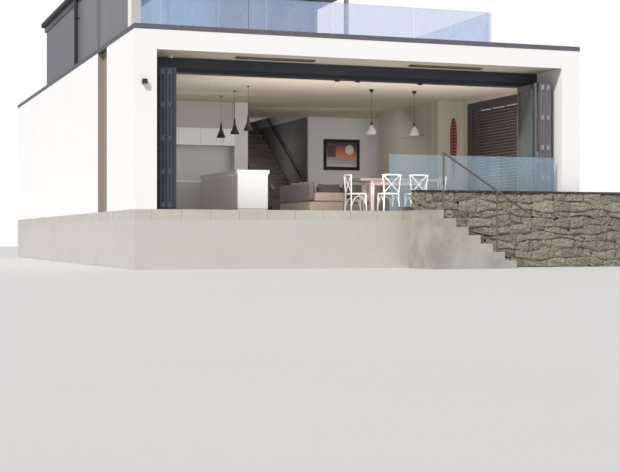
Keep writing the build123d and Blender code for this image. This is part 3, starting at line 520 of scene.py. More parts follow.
chalk = (tone(244, 242, 239), tone(233, 230, 225))
# painted shade on the soffits and other faces that look down
finish(renderedWall("whiteRender", *chalk, under=tone(196, 188, 175)), "front_piers", "front_header", "rear_wall")
# painted shade on the faces that look left into the rooms
finish(renderedWall("windowWall", *chalk, roomSide=tone(180, 171, 158)), "right_wall")
finish(renderedWall("baseRender", tone(196, 191, 183), tone(158, 152, 142), 0.005), "base_walls")
finish(renderedWall("bladeRender", tone(240, 238, 233), tone(222, 218, 210), gardenFace=tone(198, 193, 187)),
       "upper_blade_wall")
finish(renderedWall("sideRender", *chalk, recess=placesAlong(1, 2.818, 3.862)), "left_wall")
finish(tiledFloor("floorTile", tone(196, 189, 178), tone(182, 174, 162), 0.006), "floor_slab")
finish(tiledFloor("deckTile", tone(200, 196, 188), tone(186, 181, 172), 0.008), "deck_paving")
finish(castConcrete("stepConcrete", tone(176, 171, 162), tone(152, 147, 138)), "garden_steps")
finish(rubble("rubbleStone", tone(196, 184, 167), tone(140, 129, 117)), "stone_wall")
finish(rubble("copingStone", tone(96, 90, 84), tone(62, 58, 55)))
finish(flatPaint("ceilingPaint", tone(206, 196, 182), tone(198, 187, 172), 0.62), "first_floor_slab")
finish(cappingSheet("cappingSheet"), "parapet_capping")
finish(doorMetal("doorCoat", box("door_head_beam")[1][2], placesAlong(0, 2.711, 5.022), *placesAlong(0, 8.99)),
       "door_head_beam", "left_door_leaves", "right_door_leaves")
finish(brushedMetal("hingeMetal", tone(196, 194, 190), (1, 1, 0.02), darkBefore=0.0), "door_hardware")
finish(powderCoat("darkFitting", tone(48, 44, 42), tone(64, 59, 56), 0.35), "stair_rail")
finish(brushedMetal("channelMetal", tone(186, 188, 190), (0.02, 1, 1)), "glass_channels")
finish(powderCoat("railCoat", tone(96, 88, 84), tone(112, 104, 100), 0.36), "steps_rail")
finish(flatPaint("slotPaint", tone(146, 134, 123), tone(138, 126, 115), 0.7), "side_slot_panel")
finish(cladSheet("cladSheet", *placesAlong(1, 8.565)), "upper_left_wall")
finish(flatPaint("upperPaint", tone(206, 202, 196), tone(196, 191, 184), 0.68), "upper_inner_walls")
finish(glazingFrames("glazingCoat", *placesAlong(0, 5.42, 6.42, 7.45)), "window_frames")
finish(roofSheet("roofSheet"), "upper_roof")
finish(powderCoat("gutterCoat", tone(36, 34, 33), tone(46, 44, 42), 0.7), "roof_drainage")
finish(louvreStain("shutterStain", spot(0, 2.458, 0.05)[1:], spot(0, 4.592, 2.66)[1:]), "louvred_shutter")
finish(kitchenFronts("kitchenLacquer", *placesAlong(0, 4.25), tone(178, 173, 168)), "kitchen_units")
finish(kitchenFronts("islandLacquer", 99.0, tone(176, 174, 172), 50.0), "kitchen_island")
finish(flatPaint("roomPaint", tone(204, 200, 198), tone(197, 193, 190), 0.66), "picture_wall")
# painted shade: a darker copy of the room paint on the stair wall
finish(flatPaint("roomPaintShaded", tone(122, 118, 118), tone(112, 108, 108), 0.6), "stair_wall")
finish(timber("stairStain", tone(92, 82, 76), tone(126, 114, 106), 0.45, (0.05, 1, 1)), "stair_flight")
finish(joineryFronts("joineryLacquer", placesAlong(1, 5.69, 6.14, 7.80, 8.00), floorZ + 2.13), "joinery_wall")
# painted sky reflection below and above the deck
finish(sheetGlass("balustradeGlass", tone(156, 182, 196), tone(186, 203, 236), tone(190, 216, 222), (0.3, 0.34)),
       "balustrade_glass")
# painted sky reflection, bright on the front left panes; the darker painted shade on the others
finish(sheetGlass("windowGlass", tone(120, 150, 176), tone(184, 232, 255), tone(150, 180, 190), (0.45, 0.72),
                  (*spot(3.6, 9.0, 0)[:2], tone(108, 120, 126)), 0.28), "window_glass")
# painted reflection on the door panes
finish(sheetGlass("doorPane", tone(138, 146, 140), tone(138, 146, 140), tone(130, 150, 150), (0.2, 0.2)),
       "door_glass")
finish(powderCoat("blackShade", tone(34, 33, 34), tone(46, 45, 46), 0.34), "cone_lamps", "framed_picture")
finish(ribbedGlass("ribbedGlass"), "glass_lamps")
finish(frostedGlow("bulbGlow", tone(232, 226, 212), 0.05))
finish(timber("tableTimber", tone(114, 99, 88), tone(146, 134, 124), 0.42), "dining_table")
finish(timber("legTimber", tone(184, 164, 158), tone(214, 200, 196), 0.45, (1, 1, 0.06)))
finish(paintedTimber("chairPaint"), "dining_chairs")
finish(wovenCloth("sofaCloth", tone(178, 163, 148), tone(158, 144, 131)), "sofa", "sofa_cushions")
# painted shade: a darker copy of the sofa cloth for the backs and the rear back cushions
finish(wovenCloth("sofaClothShaded", tone(118, 108, 104), tone(102, 93, 89)))
finish(powderCoat("fittingWhite", tone(226, 220, 208), tone(212, 206, 194), 0.4), "porch_fittings")
finish(powderCoat("heaterCoat", tone(112, 104, 95), tone(126, 118, 108), 0.4))
finish(powderCoat("fittingDark", tone(52, 36, 38), tone(64, 46, 47), 0.4))
finish(powderCoat("slotDark", tone(58, 52, 46), tone(74, 66, 58), 0.5))
finish(abstractPrint("picturePrint", *box("framed_picture")))
finish(carvedWood("carvedBoard", *box("wall_board")), "wall_board")
print("materials made:", len(finishes))


# Studio: pale floor, white surroundings, soft sun from the front left, and light carried into the rooms
studio = {
    "floorTone": tone(206, 203, 198),
    "floorCloud": tone(198, 195, 190),
    "floorHalf": 60.0,
    "sunStrength": 3.2,
    "sunSoftness": 5.0,                    # degrees
    "sunDirection": (1.0, 0.92, -1.3),
    "skyLevel": 0.52,
    "skyTone": tone(238, 239, 246),
    "mirrorTone": tone(206, 220, 244),     # what glass and metal reflect
    # name: middle, direction, width, height, watts
    "softLamps": {
        "floorGlow": ((5.6, 1.7, 0.03), (0.0, 0.02, 1.0), 7.4, 0.5, 52.0),
        "roomGlow": ((5.6, 1.45, 1.3), (0.1, 1.0, 0.02), 7.6, 1.8, 125.0),
        "rearGlow": ((6.8, 8.0, 2.88), (0.15, 0.6, -1.0), 3.4, 3.0, 58.0),
        "pictureGlow": ((8.7, 9.6, 1.7), (0.25, 1.0, 0.0), 0.5, 1.6, 3.2),
        "stairGlow": ((6.2, 12.6, 1.6), (0.6, 0.2, 0.5), 1.0, 2.0, 10.0),
        "kitchenGlow": ((2.6, 5.2, 2.7), (0.1, 0.9, -0.6), 3.2, 1.0, 9.0),
        "upperGlow": ((3.6, 8.9, 3.75), (0.0, 0.0, 1.0), 4.2, 2.2, 70.0),
    },
}


def makeLight(name, kind, direction, energy, **settings):
    data = bpy.data.lights.new(name, kind)
    data.energy = energy
    for key, value in settings.items():
        setattr(data, key, value)
    lamp = stand(name, data)
    lamp.rotation_euler = Vector(direction).to_track_quat("-Z", "Y").to_euler()
    return lamp


def makeStudio(s):
    p = Paint("studioFloor")
    p.surface(p.blend(p.noise(3.0, 3) * 0.3, s["floorTone"], s["floorCloud"]), 0.88 + p.noise(0.4) * 0.04)
    half = s["floorHalf"]
    mesh = bpy.data.meshes.new("studioFloor")
    mesh.from_pydata([(-half, -half, 0), (half, -half, 0), (half, half, 0), (-half, half, 0)], [], [(0, 1, 2, 3)])
    mesh.materials.append(p.material)
    stand("studioFloor", mesh)

    makeLight("softSun", "SUN", s["sunDirection"], s["sunStrength"], angle=math.radians(s["sunSoftness"]))
    for name, (place, direction, width, height, watts) in s["softLamps"].items():
        lamp = makeLight(name, "AREA", direction, watts, shape="RECTANGLE", size=width, size_y=height)
        lamp.location = spot(*place)
        lamp.visible_camera = lamp.visible_glossy = False

    sky = Paint("studioSky", bpy.data.worlds)
    bpy.context.scene.world = sky.material
    seen, through, mirrored = (sky.node("ShaderNodeLightPath", out=f"Is {ray} Ray")
                               for ray in ("Camera", "Transmission", "Glossy"))

    def ground(colour, strength=1.0):
        return sky.node("ShaderNodeBackground", {}, {"Color": colour, "Strength": strength})

    def mixed(share, first, second):
        return sky.node("ShaderNodeMixShader", {}, {0: share, 1: first, 2: second})

    light = mixed(mirrored, ground(s["skyTone"], s["skyLevel"]), ground(s["mirrorTone"]))
    sky.node("ShaderNodeOutputWorld", {}, {0: mixed(seen.largest(through), light, ground((1, 1, 1, 1)))})


makeStudio(studio)
bpy.context.scene.view_settings.view_transform = "Standard"
print("studio set")


# Shapes. Each gathers points and faces from whole arrays; Pile joins many into one mesh.
class Pile:
    def __init__(self):
        self.points, self.faces, self.tints, self.count = [], [], [], 0

    def add(self, points, faces, tint=0.5):
        points = np.asarray(points, float).reshape(-1, 3)
        self.points.append(points)
        self.tints.append(np.full(len(points), tint))
        self.faces.extend((np.asarray(face) + self.count).tolist() for face in faces)
        self.count += len(points)

    def make(self, name, finish, slotName, crease=None, stands=()):
        mesh = bpy.data.meshes.new(name)
        mesh.from_pydata(np.concatenate(self.points).tolist(), [], self.faces)
        mesh.attributes.new("tint", "FLOAT", "POINT").data.foreach_set("value", np.concatenate(self.tints))
        mesh.materials.append(finishes[finish])
        mesh.polygons.foreach_set("use_smooth", np.full(len(mesh.polygons), crease is not None))
        if crease:
            mesh.set_sharp_from_angle(angle=math.radians(crease))
        mesh.update()
        piece = stand(name, mesh)
        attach(piece, "root")
        for node in stands:
            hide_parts(node)
        return piece


def gridFaces(rows, columns, closed):
    # quads between neighbouring rows; the columns wrap round when closed
    row, column = np.meshgrid(np.arange(rows - 1), np.arange(columns if closed else columns - 1), indexing="ij")
    after = (column + 1) % columns
    quads = np.stack([row * columns + column, row * columns + after,
                      (row + 1) * columns + after, (row + 1) * columns + column], axis=-1)
    return quads.reshape(-1, 4)


def placed(points, origin, heading):
    # turned about the upright axis by heading degrees, then moved to the origin
    c, s = math.cos(math.radians(heading)), math.sin(math.radians(heading))
    return np.asarray(points, float) @ np.array([[c, s, 0], [-s, c, 0], [0, 0, 1]]) + origin


# Eased board: a rectangle is carried through its thickness, drawn in by a quarter circle at both faces
def easedBoard(pile, low, high, edge, axis=1, tint=0.5):
    low, high = np.array(low, float), np.array(high, float)
    turn = np.linspace(0, np.pi / 2, 3)
    rise, close = edge * (1 - np.cos(turn)), edge * (1 - np.sin(turn))
    inset = np.concatenate([close, rise])[:, None]
    corners = np.array([[0, 0], [1, 0], [1, 1], [0, 1]], float)
    rings = np.zeros((6, 4, 3))
    for index, plane in enumerate(k for k in range(3) if k != axis):
        start, end = low[plane] + inset, high[plane] - inset
        rings[:, :, plane] = start + (end - start) * corners[:, index]
    rings[:, :, axis] = low[axis] + np.concatenate([rise, (high - low)[axis] - close])[:, None]
    loops = list(gridFaces(6, 4, True)) + [np.array([3, 2, 1, 0]), np.arange(4) + 20]
    pile.add(rings, [loop[::-1] for loop in loops] if axis == 1 else loops, tint)


# Turned form: a profile of radius and height carried round a vertical axis, ribbed by a cosine of the angle
def turned(pile, profile, centre, sides=32, ribs=0, ribDepth=0.0):
    profile = np.asarray(profile, float)
    angle = np.linspace(0, 2 * np.pi, sides, endpoint=False)
    radius = profile[:, 0][:, None] * (1 + ribDepth * np.cos(ribs * angle)[None, :])
    points = np.stack([centre[0] + radius * np.cos(angle), centre[1] + radius * np.sin(angle),
                       np.broadcast_to(centre[2] + profile[:, 1][:, None], radius.shape)], axis=-1)
    caps = [np.arange(sides)[::-1], np.arange(sides) + sides * (len(profile) - 1)]
    pile.add(points, list(gridFaces(len(profile), sides, True)) + caps)


# Round bar: a circle carried along a path, kept square to it
def roundBar(pile, path, radius, sides=10, guide=None):
    path = np.asarray(path, float)
    tangent = np.gradient(path, axis=0)
    tangent /= np.linalg.norm(tangent, axis=1, keepdims=True)
    if guide is None:
        guide = [0.0, 0.0, 1.0] if np.abs(tangent[:, 2]).mean() < 0.7 else [0.0, 1.0, 0.0]
    side = np.cross(tangent, np.array(guide, float))
    side /= np.linalg.norm(side, axis=1, keepdims=True)
    up = np.cross(side, tangent)
    angle = np.linspace(0, 2 * np.pi, sides, endpoint=False)
    ring = side[:, None, :] * np.cos(angle)[None, :, None] + up[:, None, :] * np.sin(angle)[None, :, None]
    radii = np.broadcast_to(np.asarray(radius, float), (len(path),))
    points = path[:, None, :] + ring * radii[:, None, None]
    caps = [np.arange(sides), (np.arange(sides) + sides * (len(path) - 1))[::-1]]
    pile.add(points, [face[::-1] for face in gridFaces(len(path), sides, True)] + caps)


def smoothPath(points, count):
    # Catmull-Rom curve through the points
    points = np.asarray(points, float)
    padded = np.concatenate([2 * points[:1] - points[1:2], points, 2 * points[-1:] - points[-2:-1]])
    t = np.linspace(0, len(points) - 1 - 1e-9, count)
    k = t.astype(int)
    f = (t - k)[:, None]
    a, b, c, d = padded[k], padded[k + 1], padded[k + 2], padded[k + 3]
    return 0.5 * (2 * b + (c - a) * f + (2 * a - 5 * b + 4 * c - d) * f ** 2 + (3 * b - a - 3 * c + d) * f ** 3)


# Post: a square with cut corners carried up between two sizes
def taperedPost(pile, foot, head, footSize, headSize):
    a = 0.88
    ring = np.array([[-a, -1], [a, -1], [1, -a], [1, a], [a, 1], [-a, 1], [-1, a], [-1, -a]])
    share = np.linspace(0, 1, 4)[:, None, None]
    size = footSize + (headSize - footSize) * share
    middle = np.array(foot, float) + (np.array(head, float) - np.array(foot, float)) * share
    flat = np.concatenate([ring, np.zeros((8, 1))], axis=1)[None]
    caps = [np.arange(8)[::-1], np.arange(8) + 24]
    pile.add(middle + flat * size / 2, list(gridFaces(4, 8, True)) + caps)


# Plate: a superellipse outline carried up through a profile of inset and height
def roundedPlate(pile, halfWidth, halfDepth, square, profile, origin, heading):
    sides = 40
    angle = np.linspace(0, 2 * np.pi, sides, endpoint=False)
    c, s = np.cos(angle), np.sin(angle)
    x = np.sign(c) * np.abs(c) ** (2 / square)
    y = np.sign(s) * np.abs(s) ** (2 / square)
    rings = [np.stack([x * (halfWidth - inset), y * (halfDepth - inset), 0 * x + z], axis=-1) for inset, z in profile]
    caps = [np.arange(sides)[::-1], np.arange(sides) + sides * (len(profile) - 1)]
    points = placed(np.concatenate(rings), origin, heading)
    pile.add(points, list(gridFaces(len(profile), sides, True)) + caps)


# Moulded frame: a closed profile of inset and depth carried round a rectangle, mitred at its corners
def mouldedFrame(pile, low, high, profile):
    corners = np.array([[0, 0], [1, 0], [1, 1], [0, 1]], float)
    rings = []
    for inset, depth in profile:
        x = low[0] + inset + (high[0] - low[0] - 2 * inset) * corners[:, 0]
        z = low[2] + inset + (high[2] - low[2] - 2 * inset) * corners[:, 1]
        rings.append(np.stack([x, 0 * x + depth, z], axis=-1))
    rings.append(rings[0])
    pile.add(np.concatenate(rings), gridFaces(len(rings), 4, True))


def cubeGrid(steps):
    # a cube from -1 to 1 with its faces divided and welded where they meet
    line = np.linspace(-1, 1, steps + 1)
    u, v = np.meshgrid(line, line, indexing="ij")
    one = np.ones_like(u)
    sheets = [(one, u, v), (-one, v, u), (v, one, u), (u, -one, v), (u, v, one), (v, u, -one)]
    points = np.concatenate([np.stack(sheet, axis=-1).reshape(-1, 3) for sheet in sheets])
    quads = np.concatenate([gridFaces(steps + 1, steps + 1, False) + k * (steps + 1) ** 2 for k in range(6)])
    points, back = np.unique(np.round(points, 9), axis=0, return_inverse=True)
    return points, back.reshape(-1)[quads][:, ::-1]


# Stone wall: rubble in broken courses. A block's face is a patch between four shifted corners, pushed out
# by waves that fade at its rim; the capstones are rough lumps.
stoneSet = {
    "courses": 9, "courseSway": 0.035, "meanLength": 0.38, "joint": 0.005, "relief": 0.06,
    "skin": 0.03, "across": 13, "up": 9, "coping": 0.055, "seed": 7, "jointLean": 0.03, "shortest": 0.5,
    "grit": 0.003, "lumpPower": 9,
}


def stoneWall(s):
    rng = np.random.default_rng(s["seed"])
    low, high = box("stone_wall")
    reach = s["relief"]
    top = high[2] - s["coping"] * 0.7
    pile, caps = Pile(), Pile()
    easedBoard(pile, low + (reach, reach, 0), (high[0] - reach, high[1], top), 0.01, axis=2, tint=1.0)
    levels = np.cumsum(np.concatenate([[0], rng.uniform(0.75, 1.3, s["courses"])]))
    levels = low[2] + levels / levels[-1] * (top - low[2])
    sway = rng.uniform(0, 6, (s["courses"] + 1, 2))
    sway[[0, -1]] = 0

    def level(k, u):
        move = 0 if k in (0, s["courses"]) else 1
        wave = np.sin(u * 3.1 + sway[k, 0]) + 0.6 * np.sin(u * 7.3 + sway[k, 1])
        return levels[k] + move * s["courseSway"] * wave

    def face(start, end, place):
        # blocks over one face; place(u, out, z) gives the point at u along it and out from it
        rows, columns = s["up"], s["across"]
        a = np.linspace(0, 1, columns)[None, :]
        b = np.linspace(0, 1, rows)[:, None]
        rim = 0.3 + 0.7 * np.minimum(np.minimum(a, 1 - a) * 9, np.minimum(b, 1 - b) * 6).clip(0, 1) ** 0.7
        count = rows * columns
        edge = np.concatenate([np.arange(columns), np.arange(1, rows) * columns + columns - 1,
                               (rows - 1) * columns + np.arange(columns - 2, -1, -1),
                               np.arange(rows - 2, 0, -1) * columns])
        after = np.roll(edge, -1)
        faces = list(gridFaces(rows, columns, False)) + list(np.stack([edge, edge + count, after + count, after], -1))
        faces.append((edge + count)[::-1])
        for course in range(s["courses"]):
            u, lean = start, 0.0
            while u < end - 1e-6:
                length = s["meanLength"] * rng.uniform(0.45, 1.6)
                length = end - u if end - u - length < s["meanLength"] * s["shortest"] else length
                nextLean = 0.0 if u + length > end - 1e-6 else rng.uniform(-s["jointLean"], s["jointLean"])
                left = u + lean * (b - 0.5) + s["joint"] / 2
                right = u + length + nextLean * (b - 0.5) - s["joint"] / 2
                along = left + (right - left) * a
                floor, ceiling = level(course, along) + s["joint"] / 2, level(course + 1, along) - s["joint"] / 2
                z = floor + (ceiling - floor) * b
                waves = sum(rng.uniform(0.1, 0.4) * np.sin(a * rng.uniform(2, 13) + b * rng.uniform(2, 9)
                                                           + rng.uniform(0, 6)) for _ in range(5))
                slope = rng.uniform(-0.9, 0.9) * (a - 0.5) + rng.uniform(-0.9, 0.9) * (b - 0.5)
                out = reach * rim * (0.55 + 0.3 * rng.uniform(-1, 1) + 0.4 * waves + slope)
                out = np.clip(out + rng.normal(0, s["grit"], out.shape) * rim, 0.0, reach)
                pile.add(np.concatenate([place(along, out, z).reshape(-1, 3),
                                         place(along, out * 0 - s["skin"], z).reshape(-1, 3)]), faces,
                         rng.uniform(0, 1))
                u, lean = u + length, nextLean

    face(low[0], high[0], lambda u, out, z: np.stack([u, low[1] + reach - out, z], axis=-1))
    face(low[1] + reach, high[1], lambda u, out, z: np.stack([high[0] - reach + out, u, z], axis=-1))
    face(-high[1], -low[1] - reach, lambda u, out, z: np.stack([low[0] + reach - out, -u, z], axis=-1))
    face(-high[0], -headerHigh[0], lambda u, out, z: np.stack([-u, high[1] - reach + out, z], axis=-1))

    # capstones: squared lumps with slow ripples, end to end along the top
    q, quads = cubeGrid(10)
    u = low[0]
    while u < high[0] - 1e-6:
        length = min(rng.uniform(0.3, 0.75), high[0] - u)
        thick = s["coping"] * rng.uniform(0.7, 1.0)
        lump = q / (np.abs(q) ** s["lumpPower"]).sum(axis=1, keepdims=True) ** (1 / s["lumpPower"])
        ripple = 1 + 0.05 * np.sin(q[:, :1] * 9 + u * 5) * np.sin(q[:, 1:2] * 7 + u)
        ripple = ripple + rng.normal(0, 0.02, (len(q), 1))
        half = np.array([length / 2, (high[1] - low[1]) / 2, thick / 2]) * (1.0, rng.uniform(0.93, 1.0), 1.0)
        middle = np.array([u + length / 2, (low[1] + high[1]) / 2, high[2] - thick / 2])
        spread = (lump * ripple).clip(-1, 1)
        caps.add(middle + spread * half, quads, rng.uniform(0, 1))
        u += length
    pile.make("stoneBlocks", "rubbleStone", "rubble_stone", 38, ["stone_wall"])
    caps.make("stoneCaps", "copingStone", "rubble_stone", 38)


stoneWall(stoneSet)
print("stone wall laid")


# Roof: a sheet with standing seams running front to rear, inside a folded edge
roofSet = {"seamPitch": 0.42, "seamHeight": 0.03, "seamWidth": 0.022, "edge": 0.045}


def seamedRoof(s):
    low, high = box("upper_roof")
    pile = Pile()
    easedBoard(pile, low, (high[0], high[1], high[2] - s["seamHeight"]), 0.004, axis=2)
    for x in np.arange(low[0] + s["seamPitch"], high[0] - s["seamPitch"] / 2, s["seamPitch"]):
        easedBoard(pile, (x, low[1] + s["edge"], high[2] - s["seamHeight"] - 0.005),
                   (x + s["seamWidth"], high[1] - s["edge"], high[2] - 0.006), 0.004)
    for first, last in (((low[0], low[1]), (high[0], low[1] + s["edge"])), ((low[0], high[1] - s["edge"]), high[:2]),
                        ((low[0], low[1]), (low[0] + s["edge"], high[1])), ((high[0] - s["edge"], low[1]), high[:2])):
        easedBoard(pile, (*first, high[2] - s["seamHeight"] - 0.005), (*last, high[2]), 0.003, axis=2)
    pile.make("seamedRoof", "roofSheet", "roof_metal", None, ["upper_roof"])


seamedRoof(roofSet)
print("roof seamed")


# Pendant lamps: shades are profiles of radius and height turned round their rod, with an inner skin
coneSet = {
    "places": ((3.475, 3.74), (3.475, 4.85), (3.475, 6.05)), "bottom": 1.912, "ceiling": 2.95, "wall": 0.003,
    "sides": 40, "ribs": 0, "ribDepth": 0.0, "rod": 0.0035, "rodSides": 12, "rodFoot": 0.37, "rodHead": 0.02,
    "profile": [(0.1115, 0.0), (0.1105, 0.012), (0.094, 0.05), (0.07, 0.105), (0.05, 0.155), (0.034, 0.205),
                (0.026, 0.25), (0.023, 0.3), (0.02, 0.345), (0.006, 0.37)],
    "caps": [],
    "rose": [(0.005, -0.03), (0.018, -0.028), (0.024, -0.018), (0.026, 0.0)],
    "bulb": [(0.002, 0.05), (0.018, 0.055), (0.028, 0.078), (0.024, 0.105), (0.014, 0.13), (0.002, 0.14)],
}
bellSet = {
    "places": ((6.44, 3.46), (7.545, 3.46)), "bottom": 1.885, "ceiling": 2.95, "wall": 0.003,
    "sides": 108, "ribs": 18, "ribDepth": 0.014, "rod": 0.004, "rodSides": 10, "rodFoot": 0.298, "rodHead": 0.08,
    "profile": [(0.132, 0.0), (0.128, 0.012), (0.117, 0.05), (0.103, 0.095), (0.083, 0.14), (0.06, 0.178),
                (0.04, 0.205), (0.03, 0.222)],
    "caps": [[(0.03, 0.215), (0.036, 0.22), (0.036, 0.245), (0.024, 0.262), (0.018, 0.29), (0.004, 0.3)]],
    "rose": [(0.004, -0.085), (0.02, -0.08), (0.038, -0.055), (0.053, -0.02), (0.055, 0.0)],
    "bulb": [(0.002, 0.095), (0.022, 0.1), (0.03, 0.125), (0.024, 0.16), (0.014, 0.19), (0.012, 0.218)],
}


def shadeSkin(profile, wall):
    # up the inside from the mouth's edge, then down to it again outside
    profile = np.array(profile)
    inside = profile[1:-1][::-1] - (wall, 0.0)
    return np.concatenate([[(0.001, profile[-2][1] - wall)], inside, [(profile[0][0] - wall, 0.0)], profile])


def pendants(s, shade, metal, glow):
    for x, y in s["places"]:
        base, head = spot(x, y, s["bottom"]), spot(x, y, s["ceiling"])
        turned(shade, shadeSkin(s["profile"], s["wall"]), base, s["sides"], s["ribs"], s["ribDepth"])
        for cap in s["caps"]:
            turned(metal, cap, base, 28)
        turned(metal, [(s["rod"], s["rodFoot"]), (s["rod"], head[2] - base[2] - s["rodHead"])], base, s["rodSides"])
        turned(metal, s["rose"], head - (0, 0, 0.001), 32)
        turned(glow, s["bulb"], base, 20)


cones, bulbs = Pile(), Pile()
pendants(coneSet, cones, cones, bulbs)
cones.make("coneShades", "blackShade", "black_shade", 50, ["cone_lamps"])
bulbs.make("coneBulbs", "bulbGlow", "ceiling_paint", 60)
bells, fittings, bulbs = Pile(), Pile(), Pile()
pendants(bellSet, bells, fittings, bulbs)
bells.make("bellShades", "ribbedGlass", "glass_shade", 60, ["glass_lamps"])
fittings.make("bellFittings", "blackShade", "black_shade", 50)
bulbs.make("bellBulbs", "bulbGlow", "ceiling_paint", 60)
print("lamps hung")


# Dining table: boards between breadboard ends, an apron, tapered legs and crossed braces
tableSet = {
    "low": (5.76, 2.45), "high": (7.81, 3.35), "top": 0.80, "thick": 0.062, "boards": 5, "gap": 0.002,
    "end": 0.11, "legs": ((6.12, 2.65), (7.45, 2.65), (6.12, 3.15), (7.45, 3.15)), "legFoot": 0.07, "legHead": 0.098,
    "apron": 0.085, "apronHalf": 0.012, "brace": (0.12, 0.38, 0.64), "braceRadius": 0.017,
}


def diningTable(s):
    top, frameParts = Pile(), Pile()
    (x0, y0), (x1, y1) = s["low"], s["high"]
    under, half = s["top"] - s["thick"], s["apronHalf"]
    step = (y1 - y0) / s["boards"]
    for k in range(s["boards"]):
        easedBoard(top, spot(x0 + s["end"] + s["gap"], y0 + k * step + s["gap"] / 2, under),
                   spot(x1 - s["end"] - s["gap"], y0 + (k + 1) * step - s["gap"] / 2, s["top"]), 0.004, axis=2)
    for start in (x0, x1 - s["end"]):
        easedBoard(top, spot(start, y0, under), spot(start + s["end"], y1, s["top"]), 0.008, axis=2)
    for x, y in s["legs"]:
        taperedPost(frameParts, spot(x, y, 0.0), spot(x, y, under), s["legFoot"], s["legHead"])
    (ax, ay), (bx, _), (_, cy), _ = s["legs"]
    for y in (ay, cy):
        easedBoard(frameParts, spot(ax, y - half, under - s["apron"]), spot(bx, y + half, under), 0.003)
    for x in (ax, bx):
        easedBoard(frameParts, spot(x - half, ay, under - s["apron"]), spot(x + half, cy, under), 0.003, axis=0)
        for first, last in ((ay, cy), (cy, ay)):
            path = [spot(x, y, z) for y, z in zip((first, (first + last) / 2, last), s["brace"])]
            roundBar(frameParts, path, s["braceRadius"], 8, (1, 0, 0))
    top.make("tableTop", "tableTimber", "table_wood", 40, ["dining_table"])
    frameParts.make("tableLegs", "legTimber", "table_wood", 40)


diningTable(tableSet)

# Cross-back chairs: every bar is a circle carried along a curve; the seat is a dished superellipse plate
chairSet = {
    # middle of the seat, heading in degrees from facing the rear
    "places": (((5.765, 2.745), -90), ((7.805, 2.9), 90), ((6.404, 2.365), 0), ((7.079, 2.365), 0)),
    "halfWidth": 0.228, "halfDepth": 0.212, "seat": 0.46, "square": 3.4, "railRadius": 0.0175, "archRadius": 0.0085,
    "seatForm": [(0.02, 0.036), (0.004, 0.03), (0.0, 0.018), (0.004, 0.004), (0.018, 0.0), (0.04, 0.004),
                 (0.12, 0.009)],
    # name, radius and points along the path
    "bars": (("post", 0.0145, 30), ("cross", 0.0105, 16), ("frontLeg", (0.018, 0.012), 2), ("sideArch", 0.0085, 22)),
    "post": [(0.198, -0.205, 0.0), (0.184, -0.192, 0.25), (0.18, -0.19, 0.45), (0.198, -0.198, 0.66),
             (0.212, -0.206, 0.8), (0.214, -0.208, 0.86)],
    "rail": [(-0.232, -0.209, 0.84), (-0.222, -0.209, 0.858), (-0.15, -0.21, 0.868), (0.0, -0.212, 0.872),
             (0.15, -0.21, 0.868), (0.222, -0.209, 0.858), (0.232, -0.209, 0.84)],
    "cross": [(-0.175, -0.19, 0.475), (-0.085, -0.196, 0.565), (0.08, -0.202, 0.74), (0.19, -0.208, 0.85)],
    "frontLeg": [(-0.178, 0.165, 0.44), (-0.19, 0.185, 0.0)],
    "frontArch": [(-0.186, 0.178, 0.15), (-0.11, 0.176, 0.33), (0.0, 0.175, 0.385), (0.11, 0.176, 0.33),
                  (0.186, 0.178, 0.15)],
    "sideArch": [(-0.186, -0.19, 0.17), (-0.184, -0.1, 0.335), (-0.183, 0.0, 0.385), (-0.184, 0.09, 0.335),
                 (-0.187, 0.175, 0.17)],
}


def crossBackChairs(s):
    pile = Pile()
    mirror = np.array([-1, 1, 1])
    for (x, y), heading in s["places"]:
        origin = spot(x, y, 0.0)
        roundedPlate(pile, s["halfWidth"], s["halfDepth"], s["square"],
                     [(inset, s["seat"] - drop) for inset, drop in s["seatForm"]], origin, heading)
        roundBar(pile, placed(smoothPath(s["rail"], 40), origin, heading), s["railRadius"], 10,
                 placed([(0, 1, 0)], 0, heading)[0])
        for side in (np.ones(3), mirror):
            for name, radius, count in s["bars"]:
                line = smoothPath(s[name], count) if count > 2 else np.array(s[name])
                roundBar(pile, placed(line * side, origin, heading), radius, 8)
        roundBar(pile, placed(smoothPath(s["frontArch"], 24), origin, heading), s["archRadius"], 8)
    pile.make("crossBackChairs", "chairPaint", "chair_paint", 50, ["dining_chairs"])


crossBackChairs(chairSet)
print("table and chairs set")


